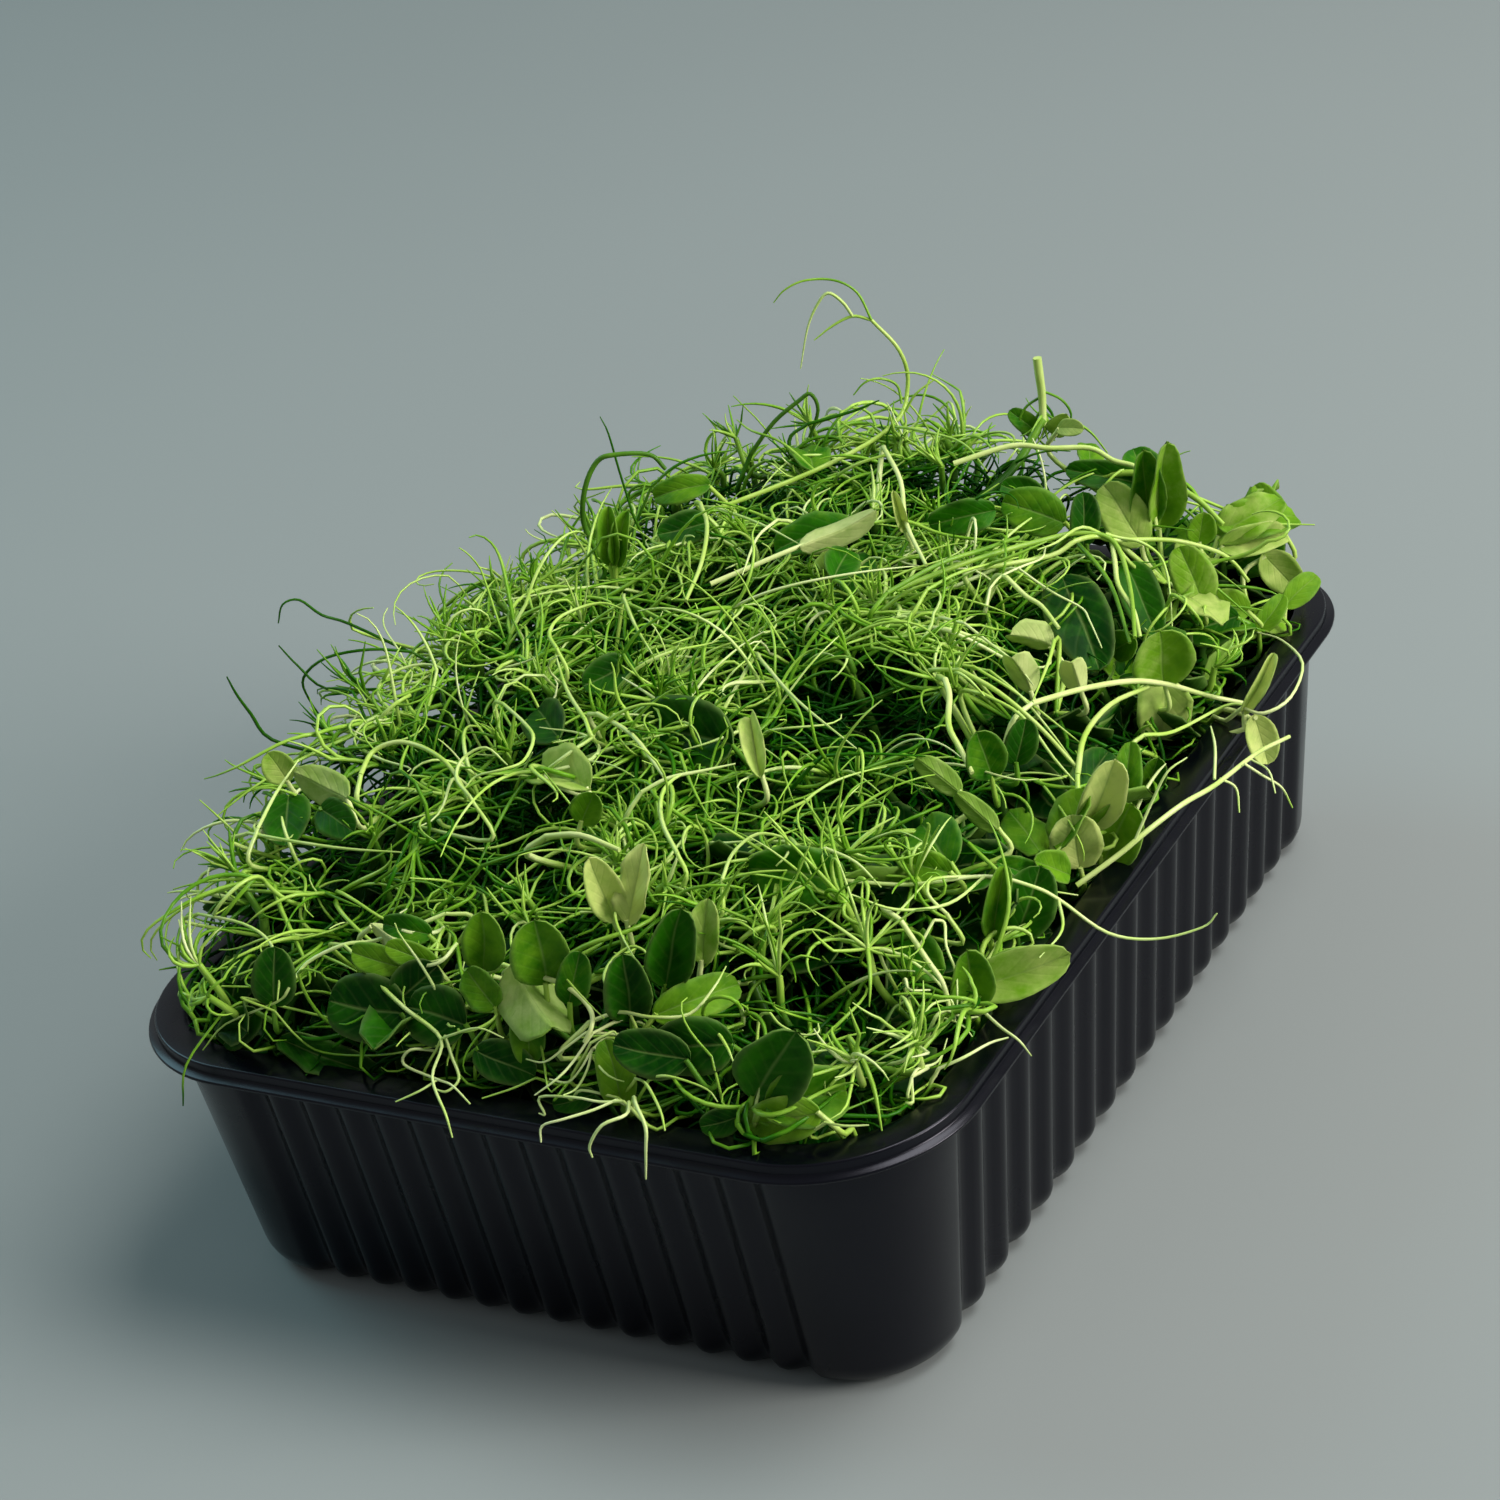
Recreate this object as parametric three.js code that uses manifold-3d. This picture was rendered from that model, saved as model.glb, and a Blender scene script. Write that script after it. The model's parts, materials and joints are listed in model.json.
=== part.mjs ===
// A ribbed black food tray heaped with cut pea shoots.
// Millimetres, +Z up. The origin is the centre of the tray's flat underside.
// X runs along the short side, Y along the long side, and +Y is the back.

import * as THREE from 'three';
import { mergeVertices } from 'three/addons/utils/BufferGeometryUtils.js';
import Module from 'manifold-3d';

const wasm = await Module();
wasm.setup();

// ---- driving dimensions: the tray ----
const TRAY_WIDTH = 137;
const TRAY_LENGTH = 187;
const TRAY_HEIGHT = 45;
const SHEET = 0.8;
const RIM_RADIUS = 24;
const BASE_RADIUS = 15.5;
const WALL_TOP_INSET = 4.2; // from the rim's outer edge to the wall just under the flange
const WALL_FOOT_INSET = 8.6; // the same at the foot of the wall, so the walls lean outwards
const FOOT_FILLET = 5;
const SKIRT_INSET = 0.9; // the turned-down skirt stands this far inside the lip
const SKIRT_DROP = 1.8;
const LIP_THICKNESS = 0.7;
const FLANGE_INNER_INSET = 6.4;
const RIBS_SHORT = 14; // corrugations along each short side
const RIBS_LONG = 17;
const RIB_DEPTH = 1.6;
const RIB_END = 5; // the corrugations stop this far below the flange
const RIB_FADE = 2; // and run out over this height
const RIB_STEPS = 4; // points along one corrugation
const CORNER_STEPS = 6;
const FILLET_STEPS = 2;

// ---- driving dimensions: the heap of shoots ----
const GAP = 0.3; // clearance between pieces that touch
const COLUMNS = 5; // shoots across the tray
const ROWS = 8; // shoots along the tray
const HEAP_EDGE = 49; // height of the tangled stems and tendrils at the heap's edges
const HEAP_CROWN = 12; // how much higher they lie in the middle
const HEAP_TILT = 3; // the left side lies higher by this, the right side lower
const HEAP_REAR_RISE = 2; // and the rear end higher by this, the front end lower
const HEAP_UNEVEN = 2.5; // one shoot stands up to this much above or below the next
const OVERHANG = 6.5; // how far the greens spread over the flange
const LEFT_LEAN = 2.5; // the heap leans this far to the left above the rim
const TENDRIL_WIDTH = 1.6;
const STEM_WIDTH = 2.4;
const STEM_SIDES = 6;
const LEAF_THICKNESS = 1;
const TOP_LEAF_RISE = 7; // how far a standing shoot's top leaves reach above its tangle
const TOP_LEAF_ROOT = 3; // and how deep in the tangle they start
const TOP_LEAF_WIDTH = 9;

// ---- finishes ----
const BLACK_PLASTIC = { color: 0x15161a, roughness: 0.38, metalness: 0 };
const SHOOT_GREEN = { color: 0x6f9a33, roughness: 0.55, metalness: 0 };
const STEM_GREEN = { color: 0xa4bf5f, roughness: 0.5, metalness: 0 };

const part = new THREE.Group();

function addPiece(name, geometry, finish) {
  const mesh = new THREE.Mesh(geometry, new THREE.MeshStandardMaterial(finish));
  mesh.name = name;
  part.add(mesh);
}

// Repeatable scatter: the same place and channel always give the same number, -1 to 1.
function scatter(i, j, channel) {
  const wave = Math.sin(i * 12.9898 + j * 78.233 + channel * 37.719) * 43758.5453;
  return 2 * (wave - Math.floor(wave)) - 1;
}

// ---- closed surfaces made of stacked loops ----

// A loop is a ring of { x, y, z, t }: t grows from 0 to 1 once round, so two loops with
// different numbers of points can still be joined by one band of triangles.
function bandTriangles(lower, upper, lowerStart, upperStart) {
  const triangles = [];
  let a = 0;
  let b = 0;
  while (a < lower.length || b < upper.length) {
    const nextA = a < lower.length ? (lower[a + 1]?.t ?? 1) : Infinity;
    const nextB = b < upper.length ? (upper[b + 1]?.t ?? 1) : Infinity;
    const atA = lowerStart + (a % lower.length);
    const atB = upperStart + (b % upper.length);
    if (nextA <= nextB) {
      a += 1;
      triangles.push(atA, lowerStart + (a % lower.length), atB);
    } else {
      b += 1;
      triangles.push(atA, upperStart + (b % upper.length), atB);
    }
  }
  return triangles;
}

// Joins the loops in order and closes both ends with a fan, so the result is one closed body.
function closedLoft(loops) {
  const positions = [];
  const starts = [];
  for (const loop of loops) {
    starts.push(positions.length / 3);
    for (const point of loop) {
      positions.push(point.x, point.y, point.z);
    }
  }
  const triangles = [];
  for (let k = 0; k + 1 < loops.length; k += 1) {
    triangles.push(...bandTriangles(loops[k], loops[k + 1], starts[k], starts[k + 1]));
  }
  const last = loops.length - 1;
  for (let k = 1; k + 1 < loops[0].length; k += 1) {
    triangles.push(starts[0], starts[0] + k + 1, starts[0] + k);
  }
  for (let k = 1; k + 1 < loops[last].length; k += 1) {
    triangles.push(starts[last], starts[last] + k, starts[last] + k + 1);
  }
  const geometry = new THREE.BufferGeometry();
  geometry.setAttribute('position', new THREE.Float32BufferAttribute(positions, 3));
  geometry.setIndex(triangles);
  return geometry;
}

// ---- the tray ----

// A rounded rectangle at one height, drawn anticlockwise from the front left: four straight
// sides, which may be corrugated, and four smooth corners. Each side with the corner after it
// is a quarter of the loop, and the straight part is this share of that quarter.
const STRAIGHT_SHARE = 0.6;
function trayOutline({ inset, z, radius, ribs = 0, fine = true }) {
  const halfX = TRAY_WIDTH / 2 - inset;
  const halfY = TRAY_LENGTH / 2 - inset;
  const sides = [
    { out: [0, -1], along: [1, 0], half: halfX - radius, reach: halfY, count: RIBS_SHORT },
    { out: [1, 0], along: [0, 1], half: halfY - radius, reach: halfX, count: RIBS_LONG },
    { out: [0, 1], along: [-1, 0], half: halfX - radius, reach: halfY, count: RIBS_SHORT },
    { out: [-1, 0], along: [0, -1], half: halfY - radius, reach: halfX, count: RIBS_LONG },
  ];
  const loop = [];
  sides.forEach((side, s) => {
    const steps = fine ? side.count * RIB_STEPS : 1;
    for (let k = 0; k < steps; k += 1) {
      const share = k / steps;
      const dip = ribs * 0.5 * (1 - Math.cos(2 * Math.PI * side.count * share));
      const along = (2 * share - 1) * side.half;
      const out = side.reach - dip;
      loop.push({
        x: side.out[0] * out + side.along[0] * along,
        y: side.out[1] * out + side.along[1] * along,
        z,
        t: (s + share * STRAIGHT_SHARE) / 4,
      });
    }
    const centreX = side.out[0] * (side.reach - radius) + side.along[0] * side.half;
    const centreY = side.out[1] * (side.reach - radius) + side.along[1] * side.half;
    for (let k = 0; k < CORNER_STEPS; k += 1) {
      const share = k / CORNER_STEPS;
      const turn = (share * Math.PI) / 2;
      const dx = side.out[0] * Math.cos(turn) + side.along[0] * Math.sin(turn);
      const dy = side.out[1] * Math.cos(turn) + side.along[1] * Math.sin(turn);
      const cornerShare = STRAIGHT_SHARE + share * (1 - STRAIGHT_SHARE);
      loop.push({ x: centreX + dx * radius, y: centreY + dy * radius, z, t: (s + cornerShare) / 4 });
    }
  });
  return loop;
}

// Three points around the middle of a flat face, so that its centre lies inside one facet.
function middleFacet(z) {
  const size = 12;
  return [
    { x: -size, y: -size, z, t: 0 },
    { x: size, y: -size, z, t: 0.25 },
    { x: 0, y: size, z, t: 0.6 },
  ];
}

// Where the tray's inner wall stands at a given height, as an inset from the rim's edge.
const INNER_FOOT_INSET = WALL_FOOT_INSET + RIB_DEPTH + SHEET;
const INNER_TOP_INSET = WALL_TOP_INSET + RIB_DEPTH + SHEET;
function innerInset(z) {
  return THREE.MathUtils.lerp(INNER_FOOT_INSET, INNER_TOP_INSET, z / TRAY_HEIGHT);
}

// The rounded edge between the underside and the outer wall, scalloped by the corrugations.
function footLoops() {
  const loops = [];
  for (let k = 0; k <= FILLET_STEPS; k += 1) {
    const share = k / FILLET_STEPS;
    const turn = (share * Math.PI) / 2;
    loops.push(trayOutline({
      inset: WALL_FOOT_INSET + FOOT_FILLET * (1 - Math.sin(turn)),
      z: FOOT_FILLET * (1 - Math.cos(turn)),
      radius: BASE_RADIUS - FOOT_FILLET * (1 - Math.sin(turn)),
      ribs: RIB_DEPTH * (0.7 + 0.3 * share),
    }));
  }
  return loops;
}

// One thermoformed sheet: outside from the underside up to the flange, over the lip,
// and down the inside to the floor.
function trayGeometry() {
  const ribTop = TRAY_HEIGHT - RIB_END;
  const under = TRAY_HEIGHT - SHEET;
  const lipTop = TRAY_HEIGHT - SKIRT_DROP;
  const lipFoot = lipTop - LIP_THICKNESS;
  const wallRadius = RIM_RADIUS - WALL_TOP_INSET;
  const rimAt = (inset, z) => trayOutline({ inset, z, radius: RIM_RADIUS - inset, fine: false });
  const plainAt = (inset, z, radius) => trayOutline({ inset, z, radius, fine: false });
  const floorInset = WALL_FOOT_INSET + FOOT_FILLET + RIB_DEPTH;
  return closedLoft([
    middleFacet(0),
    plainAt(floorInset + SHEET, 0, BASE_RADIUS / 2),
    ...footLoops(),
    trayOutline({ inset: WALL_TOP_INSET, z: ribTop, radius: wallRadius, ribs: RIB_DEPTH }),
    plainAt(WALL_TOP_INSET, ribTop + RIB_FADE, wallRadius),
    rimAt(WALL_TOP_INSET, under),
    rimAt(SKIRT_INSET + SHEET, under),
    rimAt(SKIRT_INSET + SHEET, lipFoot),
    rimAt(0, lipFoot),
    rimAt(0, lipTop),
    rimAt(SKIRT_INSET, lipTop),
    rimAt(SKIRT_INSET, TRAY_HEIGHT),
    rimAt(FLANGE_INNER_INSET, TRAY_HEIGHT),
    plainAt(INNER_TOP_INSET + SHEET, TRAY_HEIGHT - 3, RIM_RADIUS / 1.5),
    plainAt(INNER_FOOT_INSET, FOOT_FILLET, BASE_RADIUS - SHEET - RIB_DEPTH),
    plainAt(INNER_FOOT_INSET + FOOT_FILLET, SHEET, BASE_RADIUS / 1.7),
    middleFacet(SHEET),
  ]);
}

addPiece('tray', trayGeometry(), BLACK_PLASTIC);

// ---- stems, leaves and joining them ----

// A round stem or tendril through the given points.
function stemGeometry(points, width) {
  const path = new THREE.CatmullRomCurve3(points.map((p) => new THREE.Vector3(...p)));
  const corners = [];
  for (let k = 0; k < STEM_SIDES; k += 1) {
    const turn = (2 * Math.PI * k) / STEM_SIDES;
    corners.push(new THREE.Vector2(Math.cos(turn), Math.sin(turn)).multiplyScalar(width / 2));
  }
  const section = new THREE.Shape(corners);
  const steps = (points.length - 1) * 3;
  return new THREE.ExtrudeGeometry(section, { steps, extrudePath: path, curveSegments: 1 });
}

// An oval leaf blade from its base to its tip, cupped along the middle and closed all round.
function leafGeometry(base, tip, width) {
  const start = new THREE.Vector3(...base);
  const along = new THREE.Vector3(...tip).sub(start);
  const length = along.length();
  along.normalize();
  const across = new THREE.Vector3().crossVectors(new THREE.Vector3(0, 0, 1), along).normalize();
  const up = new THREE.Vector3().crossVectors(along, across);
  const stations = [
    { s: 0, w: 0.16 },
    { s: 0.22, w: 0.8 },
    { s: 0.5, w: 1 },
    { s: 0.8, w: 0.7 },
    { s: 1, w: 0.1 },
  ];
  const rim = [[0.5, 0.1], [0, 0.5], [-0.5, 0.1], [-0.5, -0.1], [0, -0.5], [0.5, -0.1]];
  return closedLoft(stations.map(({ s, w }) => rim.map(([side, height], k) => {
    const cup = width * 0.12 * Math.abs(side) * 2 * w;
    const point = start.clone();
    point.addScaledVector(along, s * length);
    point.addScaledVector(across, side * width * w);
    point.addScaledVector(up, height * LEAF_THICKNESS + cup);
    return { x: point.x, y: point.y, z: point.z, t: k / rim.length };
  })));
}

function toSolid(geometry) {
  const bare = new THREE.BufferGeometry();
  bare.setAttribute('position', geometry.getAttribute('position').clone());
  if (geometry.index) {
    bare.setIndex(geometry.index.clone());
  }
  const merged = mergeVertices(bare, 1e-4);
  const vertProperties = new Float32Array(merged.getAttribute('position').array);
  const triVerts = new Uint32Array(merged.index.array);
  return new wasm.Manifold(new wasm.Mesh({ numProp: 3, vertProperties, triVerts }));
}

function toGeometry(solid) {
  const mesh = solid.getMesh();
  const geometry = new THREE.BufferGeometry();
  geometry.setAttribute('position', new THREE.BufferAttribute(mesh.vertProperties, 3));
  geometry.setIndex(new THREE.BufferAttribute(mesh.triVerts, 1));
  return geometry;
}

// ---- the heap ----

// Height of the heap's surface over a point of the tray.
function heapHeight(x, y) {
  const u = x / (TRAY_WIDTH / 2);
  const v = y / (TRAY_LENGTH / 2);
  const dome = (1 - u ** 4) * (1 - v ** 4);
  return HEAP_EDGE + HEAP_CROWN * dome - HEAP_TILT * u + HEAP_REAR_RISE * v;
}

// Corner of the grid that shares the tray's floor between the shoots, from -1 to 1 each way.
function gridCorner(i, j) {
  const edgeX = i === 0 || i === COLUMNS;
  const edgeY = j === 0 || j === ROWS;
  const tuck = edgeX && edgeY ? { x: 0.93, y: 0.95 } : { x: 1, y: 1 }; // round tray corners
  const x = (2 * i) / COLUMNS - 1 + (edgeX ? 0 : 0.09 * scatter(i, j, 1));
  const y = (2 * j) / ROWS - 1 + (edgeY ? 0 : 0.055 * scatter(i, j, 2));
  return { x: x * tuck.x, y: y * tuck.y };
}

// The eight-sided plan of one shoot's crown inside its four grid corners.
function crownPlan(i, j) {
  const corners = [gridCorner(i, j), gridCorner(i + 1, j), gridCorner(i + 1, j + 1), gridCorner(i, j + 1)];
  const plan = [];
  corners.forEach((corner, k) => {
    const next = corners[(k + 1) % 4];
    for (const share of [0.24, 0.76]) {
      plan.push({
        x: THREE.MathUtils.lerp(corner.x, next.x, share),
        y: THREE.MathUtils.lerp(corner.y, next.y, share),
      });
    }
  });
  return plan;
}

// How far the greens reach from the tray's middle at one height: inside the walls up to the
// flange, then out over it.
const SPREAD_HEIGHT = 14; // they have spread fully this far above the rim
const WALL_CLEARANCE = 1.2;
function greensReach(z) {
  const spread = THREE.MathUtils.smoothstep(z, TRAY_HEIGHT + 0.6, TRAY_HEIGHT + SPREAD_HEIGHT);
  const inset = innerInset(Math.min(z, TRAY_HEIGHT)) + WALL_CLEARANCE - spread * OVERHANG;
  return { x: TRAY_WIDTH / 2 - inset, y: TRAY_LENGTH / 2 - inset, lean: -spread * LEFT_LEAN };
}

// The middle of a crown's plan.
function planMiddle(plan) {
  const middle = { x: 0, y: 0 };
  for (const point of plan) {
    middle.x += point.x / plan.length;
    middle.y += point.y / plan.length;
  }
  return middle;
}

// A point of the plan, given by its share of the way from the middle, at one height.
function placeInPlan(middle, point, size, z) {
  const reach = greensReach(z);
  return {
    x: reach.x * THREE.MathUtils.lerp(middle.x, point.x, size) + reach.lean,
    y: reach.y * THREE.MathUtils.lerp(middle.y, point.y, size),
  };
}

// The tangle of one standing shoot: its stems gathered at the floor, filling out into a
// crown with an uneven top. Each level's size is its share of the full plan.
function tangleGeometry(i, j, plan, middle, top) {
  const levels = [
    { z: SHEET + 0.5, size: 0.62, uneven: 0 },
    { z: 14, size: 0.8, uneven: 0 },
    { z: 34, size: 0.94, uneven: 0 },
    { z: TRAY_HEIGHT + 0.7, size: 0.97, uneven: 0 },
    { z: top - 7, size: 0.98, uneven: 1.2 },
    { z: top - 2, size: 0.78, uneven: 1.2 },
    { z: top, size: 0.38, uneven: 0 },
  ];
  return closedLoft(levels.map(({ z, size, uneven }, level) => plan.map((point, k) => {
    const { x, y } = placeInPlan(middle, point, size, z);
    return {
      x: x - GAP * Math.sign(point.x - middle.x),
      y: y - GAP * Math.sign(point.y - middle.y),
      z: z + uneven * scatter(i * 8 + k, j, level),
      t: k / plan.length,
    };
  })));
}

// A leaf at the top of a standing shoot, from near its middle out towards a corner of its plan.
function topLeaf(middle, towards, top, rise) {
  const base = placeInPlan(middle, towards, 0.08, top);
  const tip = placeInPlan(middle, towards, 0.8, top);
  return leafGeometry([base.x, base.y, top - TOP_LEAF_ROOT], [tip.x, tip.y, top + rise], TOP_LEAF_WIDTH);
}

// One standing shoot: the tangle, and the leaves at its top spread towards three of the
// four corners of its plan.
function standingShoot(i, j) {
  const plan = crownPlan(i, j);
  const middle = planMiddle(plan);
  const wide = greensReach(TRAY_HEIGHT + SPREAD_HEIGHT);
  const top = heapHeight(middle.x * wide.x, middle.y * wide.y) + HEAP_UNEVEN * scatter(i, j, 3);
  const bareCorner = Math.floor(2 + 2 * scatter(i, j, 4));
  let solid = toSolid(tangleGeometry(i, j, plan, middle, top));
  for (let corner = 0; corner < 4; corner += 1) {
    if (corner !== bareCorner) {
      const after = plan[2 * corner];
      const before = plan[(2 * corner + 7) % 8];
      const towards = { x: (before.x + after.x) / 2, y: (before.y + after.y) / 2 };
      const rise = TOP_LEAF_RISE * (0.8 + 0.2 * scatter(i, j, 5 + corner));
      solid = solid.add(toSolid(topLeaf(middle, towards, top, rise)));
    }
  }
  return toGeometry(solid);
}

for (let j = 0; j < ROWS; j += 1) {
  for (let i = 0; i < COLUMNS; i += 1) {
    addPiece(`pea_shoot_row${j + 1}_${i + 1}`, standingShoot(i, j), SHOOT_GREEN);
  }
}

// ---- the loose shoots lying on the heap ----

// Each loose shoot: the points its stem runs through, and its leaves from base to tip.
const LOOSE_SHOOTS = [
  {
    name: 'pea_shoot_arching_tendril',
    width: TENDRIL_WIDTH,
    stem: [
      [-34, 42, 70], [-18, 60, 70], [-8, 73, 75], [-9, 76, 85],
      [-15, 76, 91], [-22, 75, 91], [-25, 74, 84],
    ],
    leaves: [{ base: [-18, 60, 70], tip: [-26, 72, 74], width: 8 }],
  },
  {
    name: 'pea_shoot_cut_end_up',
    width: STEM_WIDTH,
    stem: [[17, 80, 85], [18, 78, 76], [16, 70, 70], [8, 56, 72], [0, 40, 72]],
    leaves: [{ base: [0, 40, 72], tip: [-12, 32, 73], width: 9 }],
  },
  {
    name: 'pea_shoot_pale_stem',
    width: STEM_WIDTH,
    stem: [[-16, 2, 72], [-4, 12, 73], [8, 22, 73], [20, 30, 71]],
    leaves: [
      { base: [6, 20, 73], tip: [4, 38, 75], width: 10 },
      { base: [20, 30, 71], tip: [34, 36, 70], width: 10 },
    ],
  },
  {
    name: 'pea_shoot_arching_stem',
    width: STEM_WIDTH,
    stem: [[24, 60, 69], [36, 58, 72], [47, 50, 69], [52, 38, 65]],
    leaves: [
      { base: [24, 60, 69], tip: [21, 48, 72], width: 10 },
      { base: [52, 38, 65], tip: [56, 24, 63], width: 11 },
    ],
  },
  {
    name: 'pea_shoot_back_leaves',
    width: STEM_WIDTH,
    stem: [[26, 72, 66], [38, 74, 67], [50, 72, 64]],
    leaves: [
      { base: [26, 72, 66], tip: [25, 88, 74], width: 15 },
      { base: [38, 74, 67], tip: [41, 90, 68], width: 14 },
      { base: [50, 72, 64], tip: [62, 80, 60], width: 14 },
    ],
  },
  {
    name: 'pea_shoot_over_right_rim',
    width: STEM_WIDTH,
    stem: [[44, -36, 66], [58, -27, 64], [68, -16, 58], [73, 0, 51], [75.5, 18, 48], [79, 32, 45]],
    leaves: [{ base: [44, -36, 66], tip: [34, -26, 69], width: 10 }],
  },
  {
    name: 'pea_shoot_right_tendril',
    width: TENDRIL_WIDTH,
    stem: [[42, -52, 66], [56, -44, 63], [67, -36, 57], [73, -30, 49], [79, -28, 48], [84, -27, 51]],
    leaves: [{ base: [42, -52, 66], tip: [30, -56, 68], width: 10 }],
  },
  {
    name: 'pea_shoot_front_tendril',
    width: TENDRIL_WIDTH,
    stem: [[12, -62, 67], [7, -78, 65], [3, -90, 61], [2, -96, 53], [4, -97, 44]],
    leaves: [{ base: [12, -62, 67], tip: [22, -54, 70], width: 11 }],
  },
];

for (const { name, width, stem, leaves } of LOOSE_SHOOTS) {
  let solid = toSolid(stemGeometry(stem, width));
  for (const leaf of leaves) {
    solid = solid.add(toSolid(leafGeometry(leaf.base, leaf.tip, leaf.width)));
  }
  addPiece(name, toGeometry(solid), STEM_GREEN);
}

export default part;
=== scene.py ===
# %% [markdown]
# # A tray of cut pea shoots
# The object is a black corrugated food tray, heaped with cut pea shoots: stems, small round
# leaves and a great many wiry tendrils. This lesson builds it piece by piece in Blender. The
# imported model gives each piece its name, place and size, and the pieces made here stand for it.

# %% Load the fixed frame
import json
import math

import bmesh
import bpy
import numpy as np
from mathutils import Matrix, Vector

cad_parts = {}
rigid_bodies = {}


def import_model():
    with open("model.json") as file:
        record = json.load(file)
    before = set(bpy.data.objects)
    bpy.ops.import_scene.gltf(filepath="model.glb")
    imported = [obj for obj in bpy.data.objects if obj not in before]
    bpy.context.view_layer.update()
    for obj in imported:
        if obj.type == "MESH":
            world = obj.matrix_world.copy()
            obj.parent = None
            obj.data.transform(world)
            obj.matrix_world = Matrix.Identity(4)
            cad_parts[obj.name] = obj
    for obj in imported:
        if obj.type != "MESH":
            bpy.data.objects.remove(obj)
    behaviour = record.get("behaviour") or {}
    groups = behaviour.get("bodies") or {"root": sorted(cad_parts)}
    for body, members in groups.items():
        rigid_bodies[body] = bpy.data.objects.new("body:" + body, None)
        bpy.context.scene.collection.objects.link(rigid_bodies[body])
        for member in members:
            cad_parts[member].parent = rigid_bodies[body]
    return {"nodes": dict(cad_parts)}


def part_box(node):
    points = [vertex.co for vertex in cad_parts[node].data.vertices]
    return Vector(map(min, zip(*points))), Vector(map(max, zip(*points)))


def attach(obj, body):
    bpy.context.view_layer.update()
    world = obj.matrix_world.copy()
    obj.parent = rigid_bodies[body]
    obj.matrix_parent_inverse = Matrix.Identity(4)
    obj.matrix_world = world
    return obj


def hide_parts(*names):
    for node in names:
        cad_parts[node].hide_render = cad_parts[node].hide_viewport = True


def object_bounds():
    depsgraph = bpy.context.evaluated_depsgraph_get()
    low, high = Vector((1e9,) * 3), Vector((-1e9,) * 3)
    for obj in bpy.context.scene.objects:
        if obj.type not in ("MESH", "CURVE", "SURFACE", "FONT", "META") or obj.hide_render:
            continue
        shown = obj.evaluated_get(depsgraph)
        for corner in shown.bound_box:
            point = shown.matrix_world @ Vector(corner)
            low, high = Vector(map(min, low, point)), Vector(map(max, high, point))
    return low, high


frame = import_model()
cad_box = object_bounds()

MM = 0.001
BODY = "root"
UP = np.array([0.0, 0.0, 1.0])
box_in_mm = [[round(v / MM, 1) for v in corner] for corner in cad_box]
print("packed pieces:", len(frame["nodes"]), "box in mm:", box_in_mm)

# %% [markdown]
# ## The viewpoint and the studio
# Whoever photographs food stands a little above it and uses a long lens, so the tray's far end
# hardly shrinks. The camera here is placed the same way: by a point to look at, an azimuth, an
# elevation, a distance and a slight roll. The floor is plain and pale, with soft area lamps
# around it, because wiry greens need soft light from several sides to be readable. The
# brightest lamps stand at the back and on the right, and a weak cool one on the left.

# %% Camera
AZIMUTH, ELEVATION, ROLL = math.radians(32.83), math.radians(27.77), math.radians(-10.36)
LOOK_AT = Vector((1.0, -5.6, 55.3)) * MM
DISTANCE = 529.5 * MM
SENSOR, LENS = 36.0, 80.87


def place_camera():
    """Builds the camera's axes from its angles: back, right and up, then rolls right and up."""
    level = math.cos(ELEVATION)
    back = Vector((math.sin(AZIMUTH) * level, -math.cos(AZIMUTH) * level, math.sin(ELEVATION)))
    right = Vector((0, 0, 1)).cross(back).normalized()
    above = back.cross(right)
    rolled_right = math.cos(ROLL) * right + math.sin(ROLL) * above
    rolled_up = math.cos(ROLL) * above - math.sin(ROLL) * right
    data = bpy.data.cameras.new("studio_camera")
    data.sensor_width, data.lens = SENSOR, LENS
    camera = bpy.data.objects.new("studio_camera", data)
    axes = Matrix((rolled_right, rolled_up, back)).transposed().to_4x4()
    camera.matrix_world = Matrix.Translation(LOOK_AT + back * DISTANCE) @ axes
    bpy.context.scene.collection.objects.link(camera)
    bpy.context.scene.camera = camera
    return camera


camera = place_camera()
print("camera stands at", [round(v, 3) for v in camera.location])

# %% Small helpers for node trees


def add_node(tree, kind, sockets=None, **settings):
    """Adds a node, applies its settings, then fills its sockets with values or links."""
    made = tree.nodes.new(kind)
    for key, value in settings.items():
        setattr(made, key, value)
    for key, value in (sockets or {}).items():
        if isinstance(value, bpy.types.NodeSocket):
            tree.links.new(value, made.inputs[key])
        else:
            made.inputs[key].default_value = value
    return made


def maths(tree, operation, *values, clamp=False):
    """One arithmetic step of either kind of node tree."""
    sockets = dict(enumerate(values))
    return add_node(tree, "ShaderNodeMath", sockets, operation=operation, use_clamp=clamp).outputs[0]


def new_material(name):
    """An empty node material and its output node."""
    material = bpy.data.materials.new(name)
    material.use_nodes = True
    material.node_tree.nodes.clear()
    return material, add_node(material.node_tree, "ShaderNodeOutputMaterial")


def colour_ramp(tree, factor, stops):
    """A ramp from (place, colour) stops; colours are linear red, green, blue."""
    ramp = add_node(tree, "ShaderNodeValToRGB", {"Fac": factor})
    elements = ramp.color_ramp.elements
    while len(elements) < len(stops):
        elements.new(0.5)
    for element, (place, colour) in zip(elements, stops):
        element.position = place
        element.color = (*colour, 1)
    return ramp.outputs["Color"]


def noise(tree, scale, detail=2.0, roughness=0.5):
    """Noise over the piece's own coordinates, in features per metre."""
    place = add_node(tree, "ShaderNodeTexCoord").outputs["Object"]
    return add_node(tree, "ShaderNodeTexNoise", {
        "Vector": place, "Scale": scale, "Detail": detail, "Roughness": roughness,
    })


# %% Floor, light and world
FLOOR_COLOUR = (0.255, 0.285, 0.285)
FLOOR_HALF = 4.0
LAMPS_AIM = Vector((0, 0, 0.05))


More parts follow.
